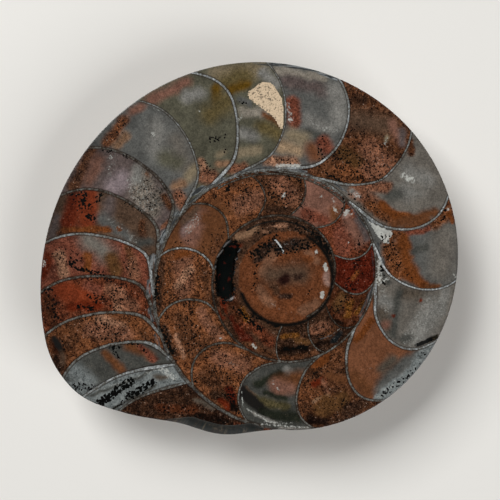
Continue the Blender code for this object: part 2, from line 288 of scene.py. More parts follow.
# What fills each chamber, by its septum: a main mineral, patches of others laid over it in order, then
# marks over those. A place is given as along, from 0 at the chamber's septum to 1 at the next one, and
# across, from 0 at the inner wall to 1 at the outer one. A patch or mark is a stroke between two places
# with half its width in mm. A mark's last number is its cover, from a few specks near 0 to solid at 1.
chambers = {
    "disc": ("discBrown", (  # the innermost whorl: along is a full turn from +X, across is from the axis
        ("discDark", 0.17, 0.86, 0.38, 0.82, 1.2), ("discShade", 0.2, 0.82, 0.42, 0.74, 0.7),
        ("discShade", 0.29, 0.84, 0.38, 0.8, 0.6), ("discPale", 0.33, 0.56, 0.45, 0.5, 0.9),
        ("calciteBrown", 0.45, 0.3, 0.05, 0.35, 1.8), ("discDark", 0.6, 0.3, 0.66, 0.34, 0.8),
        ("discPale", 0.08, 0.74, 0.14, 0.7, 0.7), ("discOrange", 0.13, 0.58, 0.1, 0.66, 0.6),
        ("discPale", 0.56, 0.58, 0.66, 0.62, 0.9), ("discPale", 0.83, 0.8, 0.89, 0.84, 1),
        ("rosePale", 0.98, 0.9, 0.02, 0.9, 0.45), ("discPurple", 0, 0.02, 0.6, 0.08, 0.9),
        ("discShade", 0.02, 0.22, 0.03, 0.34, 0.5), ("discShade", 0.72, 0.4, 0.78, 0.38, 0.6),
    ), (
        ("black", 0.15, 0.92, 0.4, 0.86, 1.3, 0.42), ("black", 0.17, 0.86, 0.21, 0.8, 0.5, 0.6),
        ("black", 0.28, 0.9, 0.36, 0.86, 0.7, 0.5), ("white", 0.22, 0.82, 0.32, 0.76, 0.9, 0.14),
        ("black", 0.4, 0.74, 0.56, 0.72, 0.5, 0.35), ("white", 0.036, 0.88, 0.052, 0.88, 0.42, 1),
        ("white", 0.925, 0.87, 0.94, 0.84, 0.42, 1), ("white", 0.11, 0.85, 0.114, 0.86, 0.3, 0.85),
        ("white", 0.655, 0.62, 0.72, 0.66, 0.14, 0.5), ("black", 0.93, 0.6, 0.91, 0.6, 0.3, 0.5),
    )),
    -360: ("discDark", (  # the ring round it: along is from +X to the first septum
        ("sandShade", 0, 0.6, 0.24, 0.6, 1), ("sandShade", 0.2, 0.55, 0.42, 0.45, 1),
        ("sandTan", 0.34, 0.35, 0.44, 0.3, 0.5), ("discDark", 0.22, 0.9, 0.5, 0.9, 0.4),
        ("honey", 0.46, 0.5, 0.53, 0.72, 0.6), ("haematite", 0.555, 0.45, 0.575, 0.62, 0.5),
        ("haematite", 0.76, 0.62, 0.8, 0.85, 0.8), ("rustRed", 0.83, 0.62, 0.92, 0.86, 0.9),
        ("rustBrown", 0.76, 0.4, 0.84, 0.44, 1), ("sandRed", 0.87, 0.4, 0.98, 0.5, 1),
        ("gold", 0.81, 0.2, 0.86, 0.26, 0.6), ("sandBrown", 0.9, 0.9, 1, 0.9, 0.5),
        ("sandShade", 0.72, 0.95, 0.88, 0.97, 0.35),
    ), (
        ("black", 0.12, 0.55, 0.19, 0.6, 0.6, 0.9), ("black", 0.19, 0.75, 0.3, 0.7, 0.5, 0.5),
        ("black", 0.24, 0.4, 0.46, 0.35, 0.8, 0.4), ("white", 0.29, 0.25, 0.4, 0.25, 0.6, 0.12),
        ("black", 0.8, 0.4, 0.93, 0.3, 0.5, 0.6), ("black", 0.86, 0.05, 1, 0.05, 0.5, 0.9),
        ("white", 0.925, 0.8, 0.935, 0.84, 0.3, 0.7),
    )),
    -98: ("sandShade", (
        ("gold", 0.15, 0.35, 0.6, 0.3, 0.5), ("rustBlack", 0.1, 0.7, 0.8, 0.72, 0.6),
        ("ochreBrown", 0.6, 0.45, 0.9, 0.55, 0.6), ("sandBrown", 0.1, 0.92, 0.9, 0.92, 0.4),
    ), (
        ("black", 0.2, 0.66, 0.8, 0.68, 0.4, 0.8),
    )),
    -68: ("sandShade", (
        ("sandPale", 0.3, 0.3, 0.7, 0.45, 1), ("sandBrown", 0.5, 0.6, 0.9, 0.6, 0.6),
        ("rustBlack", 0.1, 0.72, 0.5, 0.85, 0.5), ("blueBlack", 0.45, 0.86, 0.75, 0.84, 0.6),
    ), (
        ("black", 0.2, 0.55, 0.8, 0.5, 0.8, 0.2), ("silver", 0.3, 0.62, 0.62, 0.7, 0.2, 0.6),
        ("white", 0.7, 0.7, 0.95, 0.72, 0.12, 0.6),
    )),
    -42: ("rustBrown", (
        ("gold", 0.4, 0.66, 0.7, 0.55, 0.7), ("gold", 0.7, 0.85, 0.4, 0.85, 0.4),
        ("ochreBrown", 0.4, 0.3, 0.8, 0.3, 0.9), ("rustBlack", 0.02, 0.5, 0.1, 0.7, 0.5),
    ), (
        ("black", 0.2, 0.3, 0.9, 0.5, 1, 0.26), ("silver", 0.2, 0.95, 0.9, 0.97, 0.3, 0.6),
    )),
    -13: ("rustRed", (
        ("ironOrange", 0.45, 0.45, 0.6, 0.55, 0.5),
    ), (
        ("black", 0.2, 0.4, 0.8, 0.6, 1.6, 0.18), ("black", 0.12, 0.3, 0.12, 0.6, 0.5, 0.45),
        ("silver", 0.2, 0.95, 0.9, 0.96, 0.3, 0.35),
    )),
    16: ("sandRed", (
        ("haematiteLight", 0.3, 0.3, 0.7, 0.4, 1.6), ("calciteRose", 0.3, 0.75, 0.75, 0.72, 1.2),
        ("calcitePurple", 0.2, 0.88, 0.6, 0.9, 0.6), ("rosePale", 0.86, 0.8, 0.94, 0.72, 0.5),
    ), (
        ("black", 0.15, 0.6, 0.3, 0.8, 0.7, 0.3), ("black", 0.3, 0.4, 0.8, 0.5, 1.4, 0.1),
        ("white", 0.9, 0.84, 0.92, 0.76, 0.45, 0.8), ("white", 0.42, 0.45, 0.43, 0.47, 0.15, 1),
        ("white", 0.75, 0.9, 0.8, 0.84, 0.2, 0.6), ("silver", 0.3, 0.97, 0.9, 0.97, 0.4, 0.5),
    )),
    49: ("calciteRose", (
        ("haematiteLight", 0.2, 0.25, 0.7, 0.2, 1.2), ("ironRust", 0.1, 0.5, 0.2, 0.6, 1),
    ), (
        ("white", 0.14, 0.62, 0.24, 0.66, 0.4, 0.5), ("white", 0.28, 0.74, 0.32, 0.82, 0.3, 0.4),
        ("white", 0.6, 0.72, 0.62, 0.66, 0.16, 0.9), ("black", 0.5, 0.15, 0.9, 0.3, 0.9, 0.2),
        ("black", 0.02, 0.8, 0.06, 0.95, 0.4, 0.5),
    )),
    77: ("sandBrown", (
        ("sandPale", 0.3, 0.4, 0.6, 0.7, 1.6), ("sandShade", 0.2, 0.15, 0.8, 0.15, 0.6),
        ("sandShade", 0.2, 0.92, 0.6, 0.92, 0.6),
    ), (
        ("black", 0.1, 0.3, 0.9, 0.6, 2, 0.3), ("black", 0.1, 0.85, 0.4, 0.85, 0.6, 0.4),
        ("white", 0.52, 0.48, 0.56, 0.4, 0.25, 0.9), ("white", 0.3, 0.6, 0.6, 0.5, 1.2, 0.08),
    )),
    104: ("sandOrange", (
        ("sandPale", 0.2, 0.4, 0.6, 0.4, 1.8), ("sandBrown", 0.05, 0.85, 0.4, 0.9, 0.9),
        ("ironRust", 0.85, 0.4, 0.9, 0.7, 0.8),
    ), (
        ("black", 0.48, 0.84, 0.56, 0.8, 0.45, 0.9), ("black", 0.1, 0.7, 0.4, 0.6, 1.2, 0.26),
        ("black", 0.4, 0.3, 0.8, 0.5, 1.4, 0.18), ("black", 0.8, 0.8, 0.7, 0.88, 0.4, 0.5),
        ("white", 0.2, 0.3, 0.5, 0.5, 1.4, 0.07),
    )),
    # in this chamber the pale lilac patch and the white specks along it are a painted soft reflection of a
    # lamp in the polish
    134.5: ("ironRust", (
        ("calciteLilac", 0.45, 0.78, 0.65, 0.7, 1.2), ("calciteRose", 0.3, 0.72, 0.8, 0.6, 1.4),
        ("calciteBrown", 0.15, 0.85, 0.4, 0.9, 0.8), ("sandBrown", 0.3, 0.12, 0.8, 0.12, 0.7),
        ("ironRust", 0.2, 0.4, 0.3, 0.6, 1.1), ("rosePale", 0.52, 0.72, 0.6, 0.72, 0.6),
    ), (
        ("white", 0.35, 0.72, 0.62, 0.72, 1, 0.26), ("black", 0.3, 0.2, 0.9, 0.3, 1.2, 0.16),
        ("black", 0.85, 0.6, 0.9, 0.85, 0.5, 0.25),
    )),
    163: ("sandOrange", (
        ("sandPale", 0.3, 0.55, 0.8, 0.5, 1.9), ("sandTan", 0.4, 0.4, 0.7, 0.62, 0.7),
        ("sandBrown", 0.2, 0.15, 0.9, 0.12, 0.7), ("sandShade", 0.15, 0.92, 0.9, 0.94, 0.5),
        ("ironOrange", 0.1, 0.55, 0.16, 0.7, 0.7),
    ), (
        ("black", 0.2, 0.3, 0.9, 0.7, 2.2, 0.16), ("black", 0.3, 0.97, 0.8, 0.97, 0.5, 0.6),
    )),
    192: ("sandOrange", (
        ("sandPale", 0.25, 0.25, 0.85, 0.18, 1), ("sandBrown", 0.35, 0.6, 0.8, 0.65, 1.6),
        ("sandTan", 0.5, 0.78, 0.8, 0.8, 0.5), ("sandBrown", 0.85, 0.3, 0.9, 0.6, 0.8),
        ("sandShade", 0.2, 0.92, 0.6, 0.92, 0.6),
    ), (
        ("black", 0.2, 0.5, 0.8, 0.6, 2, 0.26), ("black", 0.15, 0.95, 0.5, 0.96, 0.5, 0.7),
        ("white", 0.85, 0.15, 0.88, 0.16, 0.2, 0.7),
    )),
    221: ("sandOrange", (
        ("sandPale", 0.3, 0.4, 0.75, 0.25, 1.6), ("sandBrown", 0.3, 0.75, 0.7, 0.7, 1.6),
        ("sandShade", 0.5, 0.86, 0.75, 0.8, 1), ("rustRed", 0.8, 0.66, 0.88, 0.8, 0.8),
        ("rustBlack", 0.75, 0.9, 0.92, 0.86, 0.8), ("haematite", 0.62, 0.88, 0.72, 0.92, 0.6),
    ), (
        ("black", 0.2, 0.4, 0.9, 0.6, 2.2, 0.18), ("black", 0.1, 0.85, 0.05, 0.95, 0.4, 0.6),
        ("white", 0.5, 0.34, 0.7, 0.3, 0.5, 0.2), ("black", 0.75, 0.7, 0.95, 0.9, 0.8, 0.4),
    )),
    247.4: ("calciteDark", (
        ("calciteBlack", 0.25, 0.42, 0.5, 0.18, 0.8), ("calcitePale", 0.46, 0.1, 0.66, 0.14, 0.5),
        ("ironRust", 0.66, 0.34, 0.94, 0.26, 1.7), ("calciteRose", 0.58, 0.38, 0.82, 0.38, 1.2),
        ("calciteBlack", 0.42, 0.5, 0.8, 0.54, 0.5), ("honey", 0.1, 0.56, 0.34, 0.64, 0.4),
        ("greenGold", 0.3, 0.64, 0.8, 0.66, 0.8), ("oxide", 0.05, 0.62, 0.5, 0.82, 1.15),
        ("calciteBlack", 0.44, 0.8, 0.95, 0.82, 1.1), ("spar", 0.22, 0.86, 0.5, 0.91, 0.25),
        ("spar", 0.5, 0.985, 0.95, 0.99, 0.25),
    ), (
        ("white", 0.14, 0.82, 0.4, 0.9, 0.16, 0.7), ("white", 0.04, 0.62, 0.08, 0.8, 0.12, 0.7),
        ("white", 0.35, 0.92, 0.8, 0.9, 0.15, 0.7), ("white", 0.25, 0.97, 0.95, 0.975, 0.2, 0.6),
        ("white", 0.5, 0.32, 0.56, 0.36, 0.4, 0.35), ("white", 0.62, 0.4, 0.66, 0.42, 0.15, 0.9),
    )),
    275: ("sandBrown", (
        ("sandOrange", 0.1, 0.45, 0.4, 0.6, 1.6), ("haematite", 0.32, 0.36, 0.5, 0.34, 0.7),
        ("ochreBrown", 0.35, 0.75, 0.75, 0.7, 1.5), ("sandPale", 0.5, 0.34, 0.55, 0.6, 0.4),
        ("honey", 0.3, 0.62, 0.55, 0.56, 0.4), ("ochreBrown", 0.5, 0.6, 0.66, 0.82, 1),
        ("sandShade", 0.6, 0.9, 0.9, 0.88, 1.1), ("rustBlack", 0.1, 0.86, 0.25, 0.94, 1),
        ("sandShade", 0.3, 0.95, 0.6, 0.97, 0.6), ("ironOrange", 0.15, 0.12, 0.4, 0.08, 0.7),
        ("ironRust", 0.6, 0.3, 0.85, 0.45, 0.8),
    ), (
        ("black", 0.1, 0.5, 0.6, 0.8, 2, 0.14), ("black", 0.15, 0.3, 0.5, 0.2, 1.2, 0.2),
        ("black", 0.58, 0.84, 0.84, 0.66, 0.1, 0.8), ("black", 0.72, 0.72, 0.8, 0.8, 0.1, 0.6),
    )),
    301.5: ("calcitePink", (
        ("calciteUmber", 0.55, 0.66, 0.75, 0.66, 1.1), ("calciteDark", 0.3, 0.82, 0.8, 0.8, 1),
        ("ironRust", 0.08, 0.5, 0.15, 0.74, 1.2), ("calciteBlue", 0.2, 0.86, 0.9, 0.88, 1),
        ("sparRim", 0.04, 0.95, 0.5, 0.97, 1.15), ("sparRim", 0.5, 0.97, 0.97, 0.95, 1.15),
        ("ironOrange", 0.3, 0.12, 0.8, 0.12, 0.7),
    ), (
        ("white", 0.05, 0.93, 0.4, 0.9, 0.5, 0.3), ("white", 0.3, 0.48, 0.5, 0.52, 0.6, 0.12),
        ("black", 0.12, 0.93, 0.5, 0.96, 0.6, 0.34), ("black", 0.5, 0.96, 0.85, 0.94, 0.5, 0.3),
    )),
    329: ("calciteGrey", (
        ("calcitePale", 0.2, 0.75, 0.7, 0.8, 2), ("calcitePale", 0.4, 0.15, 0.5, 0.3, 1.2),
        ("calciteUmber", 0.85, 0.38, 0.9, 0.55, 1.2), ("calciteUmber", 0.2, 0.2, 0.15, 0.36, 1.2),
        ("calciteRose", 0.1, 0.3, 0.2, 0.36, 0.8), ("calciteDark", 0.8, 0.32, 0.1, 0.48, 0.8),
        ("calciteDark", 0.9, 0.1, 0.8, 0.16, 0.5), ("calcitePale", 0.6, 0.9, 0.9, 0.9, 0.9),
        ("calciteDark", 0.12, 0.62, 0.2, 0.66, 0.8), ("oxide", 0.08, 0.8, 0.13, 0.97, 0.42),
        ("oliveNight", 0.11, 0.9, 0.15, 0.97, 0.3), ("haematite", 0.81, 0.61, 0.82, 0.62, 0.3),
        ("haematite", 0.37, 0.355, 0.38, 0.365, 0.28),
    ), (
        ("white", 0.2, 0.7, 0.75, 0.8, 2.2, 0.2), ("white", 0.5, 0.1, 0.3, 0.25, 0.9, 0.2),
        ("white", 0.9, 0.05, 0.4, 0.05, 0.7, 0.5), ("white", 0.9, 0.16, 0.6, 0.08, 0.35, 0.6),
        ("black", 0.86, 0.06, 0.66, 0.13, 0.3, 0.75), ("black", 0.08, 0.81, 0.12, 0.93, 0.36, 1),
    )),
    355.4: ("calciteBlue", (
        ("calciteGrey", 0.3, 0.8, 0.7, 0.85, 2.6), ("ironOrange", 0.85, 0.35, 0.55, 0.38, 1.3),
        ("ironOrange", 0.6, 0.3, 0.25, 0.42, 1.6), ("sandOrange", 0.6, 0.18, 0.1, 0.26, 1.5),
        ("ironOrange", 0.2, 0.4, 0.08, 0.62, 1.1), ("ironRust", 0.06, 0.66, 0.05, 0.8, 0.5),
        ("sandOrange", 0.9, 0.28, 0.8, 0.2, 0.9), ("haematiteLight", 0.94, 0.44, 0.93, 0.66, 0.6),
        ("sandOrange", 0.93, 0.76, 0.88, 0.94, 1.2), ("sandOrange", 0.97, 0.88, 0.96, 1, 1),
        ("ironOrange", 0.86, 0.94, 0.74, 0.97, 0.5),
        ("calciteDark", 0.62, 0.46, 0.66, 0.6, 0.7),
    ), (
        ("black", 0.7, 0.15, 0.3, 0.25, 1.2, 0.28), ("black", 0.35, 0.34, 0.15, 0.42, 0.6, 0.2),
        ("silver", 0.95, 0.06, 0.8, 0.07, 0.5, 0.8), ("silver", 0.3, 0.05, 0.1, 0.1, 0.4, 0.5),
        ("white", 0.12, 0.95, 0.06, 0.98, 0.25, 0.5), ("black", 0.9, 0.86, 0.95, 0.92, 0.5, 0.5),
        ("white", 0.91, 0.94, 0.92, 0.95, 0.22, 0.8),
    )),
    381: ("calciteGrey", (
        ("calcitePale", 0.8, 0.7, 0.5, 0.84, 1.4), ("calcitePale", 0.6, 0.58, 0.35, 0.7, 1.4),
        ("calciteGrey", 0.3, 0.66, 0.2, 0.84, 1.6), ("calciteDark", 0.7, 0.41, 0.63, 0.49, 1.1),
        ("sandBrown", 0.92, 0.84, 0.96, 0.92, 0.7), ("sandPale", 0.8, 0.12, 0.6, 0.2, 1.4),
        ("sandPale", 0.94, 0.18, 0.84, 0.42, 1), ("sandOrange", 0.45, 0.16, 0.2, 0.28, 1.2),
        ("ironOrange", 0.52, 0.28, 0.25, 0.36, 0.9), ("ironOrange", 0.25, 0.4, 0.1, 0.62, 1),
        ("ironRust", 0.08, 0.3, 0.06, 0.8, 0.9), ("ironRust", 0.02, 0.42, 0.03, 0.68, 0.7),
        ("spar", 0.76, 0.09, 0.66, 0.11, 0.5), ("rosePale", 0.7, 0.1, 0.64, 0.12, 0.4),
    ), (
        ("white", 0.82, 0.63, 0.68, 0.69, 0.8, 0.42), ("white", 0.74, 0.65, 0.7, 0.7, 0.35, 0.75),
        ("white", 0.85, 0.58, 0.6, 0.5, 0.8, 0.12), ("black", 0.7, 0.16, 0.4, 0.2, 0.9, 0.2),
        ("silver", 0.9, 0.05, 0.6, 0.05, 0.35, 0.6), ("white", 0.7, 0.1, 0.65, 0.12, 0.4, 0.55),
        ("black", 0.55, 0.05, 0.3, 0.09, 0.2, 0.8),
    )),
    405.5: ("sandBrown", (
        ("calciteBrown", 0.92, 0.7, 0.4, 0.85, 2), ("sandShade", 0.95, 0.85, 0.75, 0.92, 1),
        ("calciteRose", 0.3, 0.92, 0.12, 0.84, 0.8), ("sandPale", 0.5, 0.55, 0.15, 0.55, 1.9),
        ("sandPale", 0.3, 0.35, 0.15, 0.42, 1.3), ("ochreBrown", 0.85, 0.38, 0.55, 0.36, 1.4),
        ("sandOrange", 0.55, 0.18, 0.2, 0.24, 1.4), ("calciteBeige", 0.33, 0.74, 0.33, 0.78, 0.3),
        ("calcitePurple", 0.14, 0.92, 0.08, 0.84, 0.7),
    ), (
        ("black", 0.8, 0.3, 0.15, 0.35, 2.4, 0.28), ("black", 0.8, 0.6, 0.2, 0.6, 2, 0.16),
        ("white", 0.4, 0.52, 0.12, 0.58, 1.2, 0.14), ("white", 0.34, 0.7, 0.33, 0.76, 0.12, 0.8),
        ("white", 0.33, 0.7, 0.29, 0.7, 0.12, 0.7), ("silver", 0.9, 0.03, 0.6, 0.03, 0.3, 0.7),
        ("black", 0.6, 0.09, 0.15, 0.1, 0.25, 0.8),
    )),
    428: ("calciteBlue", (
        ("calciteBright", 0.95, 0.93, 0.3, 0.95, 0.8), ("calcitePurple", 0.9, 0.85, 0.35, 0.84, 1.2),
        ("calcitePale", 0.2, 0.86, 0.12, 0.64, 1.6), ("calcitePale", 0.65, 0.52, 0.25, 0.5, 1.1),
        ("haematiteLight", 0.9, 0.65, 0.86, 0.47, 1.35), ("calciteDark", 0.6, 0.41, 0.3, 0.42, 0.7),
        ("calciteBeige", 0.85, 0.34, 0.6, 0.32, 1.3), ("honeyPale", 0.9, 0.22, 0.55, 0.2, 1.2),
        ("sandTan", 0.88, 0.08, 0.3, 0.08, 1), ("calcitePink", 0.34, 0.26, 0.16, 0.2, 1.3),
        ("haematiteLight", 0.26, 0.36, 0.12, 0.32, 1.3),
    ), (
        ("white", 0.97, 0.62, 0.9, 0.48, 0.5, 0.4), ("white", 0.95, 0.475, 0.86, 0.47, 0.16, 1),
        ("white", 0.97, 0.56, 0.92, 0.53, 0.12, 0.9), ("white", 0.66, 0.52, 0.45, 0.5, 0.5, 0.2),
        ("white", 0.35, 0.48, 0.14, 0.52, 0.5, 0.3), ("black", 0.3, 0.38, 0.1, 0.22, 0.7, 0.35),
        ("black", 0.8, 0.09, 0.4, 0.08, 0.6, 0.25), ("silver", 0.95, 0.985, 0.5, 1, 0.4, 0.72),
        ("silver", 0.5, 1, 0.05, 0.985, 0.4, 0.72),
        ("silver", 0.98, 0.9, 0.92, 0.7, 0.5, 0.3), ("white", 0.4, 0.035, 0.15, 0.07, 0.35, 0.8),
    )),
    450: ("calciteGreen", (
        ("calciteBeige", 0.85, 0.93, 0.25, 0.92, 1.4), ("calciteOlive", 0.95, 0.83, 0.5, 0.88, 1.7),
        ("ochre", 0.95, 0.76, 0.6, 0.8, 0.9), ("calcitePale", 0.2, 0.9, 0.08, 0.8, 0.9),
        ("calciteBright", 0.85, 0.55, 0.45, 0.54, 0.9), ("calciteBlue", 0.88, 0.66, 0.72, 0.62, 0.5),
        ("ironRust", 0.45, 0.53, 0.1, 0.42, 0.5), ("calciteOlive", 0.45, 0.4, 0.1, 0.34, 1.3),
        ("calcitePale", 0.9, 0.36, 0.65, 0.32, 1.1), ("calciteBeige", 0.9, 0.18, 0.45, 0.18, 0.9),
        ("sandPale", 0.85, 0.07, 0.25, 0.04, 1),
    ), (
        ("black", 0.9, 0.64, 0.76, 0.62, 0.2, 0.5), ("white", 0.98, 0.48, 0.9, 0.52, 0.4, 0.3),
        ("white", 0.3, 0.93, 0.12, 0.86, 0.5, 0.2), ("black", 0.55, 0.1, 0.4, 0.12, 0.4, 0.2),
        ("silver", 0.95, 0.03, 0.6, 0.02, 0.35, 0.6), ("silver", 0.2, 0.985, 0.02, 0.97, 0.3, 0.5),
    )),
    466.6: ("calciteGreen", (
        ("calciteRose", 0.95, 0.93, 0.3, 0.94, 1.1), ("calcitePale", 0.6, 0.82, 0.4, 0.8, 1),
        ("ochre", 0.12, 0.8, 0.22, 0.7, 1.1), ("calciteOlive", 0.1, 0.66, 0.42, 0.6, 1.9),
        ("calciteBeige", 0.48, 0.235, 0.3, 0.225, 0.5), ("sandTan", 0.9, 0.24, 0.75, 0.14, 0.7),
        ("sandPale", 0.8, 0.12, 0.3, 0.06, 1.4), ("honey", 0.45, 0.16, 0.12, 0.12, 0.7),
    ), (
        ("black", 0.58, 0.38, 0.3, 0.37, 0.6, 0.35), ("black", 0.28, 0.25, 0.3, 0.22, 0.2, 0.7),
        ("black", 0.85, 0.22, 0.5, 0.1, 0.9, 0.3), ("silver", 0.9, 0.05, 0.5, 0.04, 0.6, 0.7),
        ("white", 0.6, 0.66, 0.58, 0.65, 0.16, 0.7), ("black", 0.97, 0.45, 0.9, 0.48, 0.4, 0.3),
    )),
    485: ("calciteBlue", (
        ("calcitePale", 0.3, 0.7, 0.6, 0.55, 1.7), ("calciteGrey", 0.2, 0.5, 0.35, 0.3, 1.6),
        ("sandOrange", 0.45, 0.93, 0.9, 0.9, 1.1), ("honey", 0.7, 0.82, 0.9, 0.82, 0.9),
        ("calciteGreen", 0.45, 0.35, 0.6, 0.45, 1.4), ("calciteBeige", 0.08, 0.22, 0.3, 0.18, 1),
        ("honey", 0.8, 0.22, 0.5, 0.17, 0.7), ("sandPale", 0.8, 0.14, 0.35, 0.05, 1.2),
        ("calciteRose", 0.1, 0.94, 0.25, 0.95, 0.8),
    ), (
        ("white", 0.43, 0.69, 0.45, 0.66, 0.2, 0.9), ("white", 0.4, 0.66, 0.6, 0.6, 1.8, 0.07),
        ("white", 0.42, 0.5, 0.46, 0.46, 0.14, 0.7), ("black", 0.46, 0.57, 0.52, 0.56, 0.16, 0.8),
        ("black", 0.3, 0.28, 0.33, 0.26, 0.16, 0.7), ("black", 0.5, 0.9, 0.85, 0.88, 0.8, 0.2),
        ("black", 0.75, 0.14, 0.35, 0.06, 0.9, 0.3), ("silver", 0.8, 0.05, 0.4, 0.03, 0.5, 0.6),
        ("white", 0.03, 0.78, 0.03, 0.88, 0.3, 0.3),
    )),
    # in this chamber the pale lilac patch and the broad, sparse white specks near it are a painted soft
    # reflection of a lamp in the polish
    501.6: ("calcitePurple", (
        ("sandBrown", 0.1, 0.95, 0.9, 0.93, 1.1), ("calciteRose", 0.3, 0.86, 0.8, 0.84, 1.1),
        ("calciteGranular", 0.25, 0.45, 0.75, 0.36, 2.2), ("calciteGranular", 0.3, 0.25, 0.8, 0.22, 1.3),
        ("calciteLilac", 0.8, 0.62, 0.55, 0.6, 1.4), ("calcitePale", 0.2, 0.55, 0.4, 0.5, 1),
        ("sandBrown", 0.16, 0.22, 0.18, 0.12, 0.6), ("sandPale", 0.6, 0.07, 0.3, 0.06, 0.5),
        ("ironRust", 0.12, 0.46, 0.14, 0.44, 0.35),
    ), (
        ("white", 0.55, 0.48, 0.7, 0.3, 2, 0.24), ("white", 0.1, 0.78, 0.5, 0.72, 1.2, 0.14),
        ("white", 0.16, 0.8, 0.18, 0.78, 0.25, 0.7), ("white", 0.42, 0.76, 0.44, 0.74, 0.25, 0.6),
        ("black", 0.3, 0.3, 0.7, 0.3, 1.8, 0.16), ("silver", 0.8, 0.04, 0.4, 0.04, 0.6, 0.7),
        ("black", 0.02, 0.68, 0.03, 0.9, 0.35, 0.45),
    )),
    514: ("calciteBrown", (
        ("haematite", 0.2, 0.86, 0.75, 0.84, 1.6), ("haematiteBright", 0.2, 0.76, 0.7, 0.7, 1.9),
        ("calcitePurple", 0.15, 0.58, 0.45, 0.55, 1), ("calcitePurple", 0.55, 0.96, 0.95, 0.95, 0.8),
        ("calciteBlue", 0.62, 0.58, 0.85, 0.3, 1.1), ("sandBrown", 0.25, 0.25, 0.55, 0.2, 0.7),
        ("calciteDark", 0.8, 0.2, 0.6, 0.14, 0.9), ("ironOrange", 0.7, 0.42, 0.74, 0.4, 0.4),
        ("sandBrown", 0.92, 0.9, 0.95, 0.6, 0.5), ("ironOrange", 0.88, 0.86, 0.82, 0.5, 0.6),
    ), (
        ("black", 0.14, 0.8, 0.4, 0.8, 0.5, 0.7), ("black", 0.36, 0.76, 0.4, 0.72, 0.45, 0.75),
        ("black", 0.12, 0.68, 0.26, 0.68, 0.5, 0.62), ("black", 0.6, 0.72, 0.66, 0.64, 0.5, 0.75),
        ("black", 0.3, 0.84, 0.6, 0.7, 1.2, 0.18), ("black", 0.08, 0.92, 0.1, 0.84, 0.4, 0.6),
        ("white", 0.6, 0.5, 0.85, 0.25, 1, 0.2), ("silver", 0.9, 0.05, 0.5, 0.05, 0.6, 0.7),
        ("black", 0.03, 0.3, 0.06, 0.45, 0.3, 0.5),
    )),
    527: ("haematiteLight", (
        ("sandTan", 0.45, 0.86, 0.85, 0.8, 1), ("haematiteLight", 0.2, 0.8, 0.4, 0.7, 1.2),
        ("calciteGrey", 0.12, 0.64, 0.42, 0.46, 1.8), ("ochreBrown", 0.5, 0.4, 0.8, 0.34, 1.3),
        ("ironOrange", 0.5, 0.62, 0.8, 0.6, 0.8), ("sandPale", 0.4, 0.22, 0.8, 0.18, 1.2),
        ("haematite", 0.3, 0.96, 0.75, 0.97, 0.7), ("sandBrown", 0.1, 0.3, 0.3, 0.26, 0.7),
    ), (
        ("black", 0.66, 0.74, 0.8, 0.68, 0.7, 0.72), ("black", 0.78, 0.7, 0.86, 0.6, 0.55, 0.75),
        ("black", 0.86, 0.6, 0.94, 0.46, 0.5, 0.68), ("black", 0.3, 0.9, 0.6, 0.7, 1.3, 0.2),
        ("black", 0.5, 0.25, 0.8, 0.22, 1.2, 0.22), ("white", 0.1, 0.55, 0.6, 0.45, 1, 0.1),
        # the white mark at the outer rim is a painted highlight on the edge
        ("white", 0.4, 0.985, 0.5, 0.985, 0.25, 0.8), ("silver", 0.9, 0.05, 0.4, 0.05, 0.6, 0.6),
    )),
    539.3: ("sandRed", (
        ("haematiteBright", 0.24, 0.8, 0.6, 0.58, 1.7), ("haematiteLight", 0.25, 0.58, 0.35, 0.5, 1),
        ("sandTan", 0.5, 0.3, 0.8, 0.3, 1.3), ("sandPale", 0.35, 0.38, 0.8, 0.2, 1.3),
        ("rustBrown", 0.3, 0.93, 0.85, 0.9, 1.1), ("haematite", 0.7, 0.72, 0.8, 0.5, 0.9),
    ), (
        ("black", 0.15, 0.92, 0.75, 0.88, 1.1, 0.45), ("black", 0.5, 0.58, 0.6, 0.46, 0.5, 0.62),
        ("black", 0.76, 0.68, 0.86, 0.54, 0.45, 0.72), ("black", 0.6, 0.54, 0.74, 0.5, 0.5, 0.62),
        ("black", 0.3, 0.3, 0.8, 0.35, 1.6, 0.26), ("silver", 0.8, 0.05, 0.4, 0.05, 0.5, 0.6),
        ("black", 0.05, 0.6, 0.1, 0.36, 0.4, 0.4),
    )),
    550.5: ("sandOrange", (
        ("sandTan", 0.2, 0.48, 0.6, 0.34, 1.3), ("sandPale", 0.4, 0.6, 0.8, 0.3, 1.5),
        ("sandBrown", 0.15, 0.7, 0.6, 0.78, 1.3), ("rustBrown", 0.3, 0.94, 0.6, 0.9, 1),
        ("oxide", 0.24, 0.92, 0.46, 0.89, 0.8), ("sandShade", 0.55, 0.95, 0.85, 0.93, 0.9),
        ("calciteBrown", 0.6, 0.88, 0.8, 0.9, 0.6), ("sandBrown", 0.7, 0.15, 0.9, 0.12, 0.6),
    ), (
        ("black", 0.2, 0.6, 0.8, 0.4, 2, 0.24), ("white", 0.2, 0.44, 0.7, 0.3, 1.4, 0.08),
        ("black", 0.3, 0.88, 0.6, 0.84, 0.6, 0.4), ("silver", 0.9, 0.05, 0.4, 0.05, 0.4, 0.5),
    )),
    560.5: ("calciteDark", (
        ("sparCloud", 0.22, 0.84, 0.72, 0.76, 1.7), ("calciteDark", 0.3, 0.66, 0.7, 0.6, 0.9),
        ("ironRust", 0.2, 0.52, 0.85, 0.44, 0.8), ("ironRust", 0.12, 0.3, 0.5, 0.16, 1),
        ("haematiteLight", 0.2, 0.2, 0.7, 0.14, 0.7), ("sparRim", 0.5, 0.9, 0.9, 0.84, 1),
    ), (
        ("black", 0.5, 0.92, 0.85, 0.76, 0.9, 0.35), ("black", 0.08, 0.46, 0.14, 0.38, 0.2, 1),
        ("black", 0.14, 0.44, 0.45, 0.42, 0.25, 0.9), ("black", 0.06, 0.32, 0.14, 0.2, 0.2, 1),
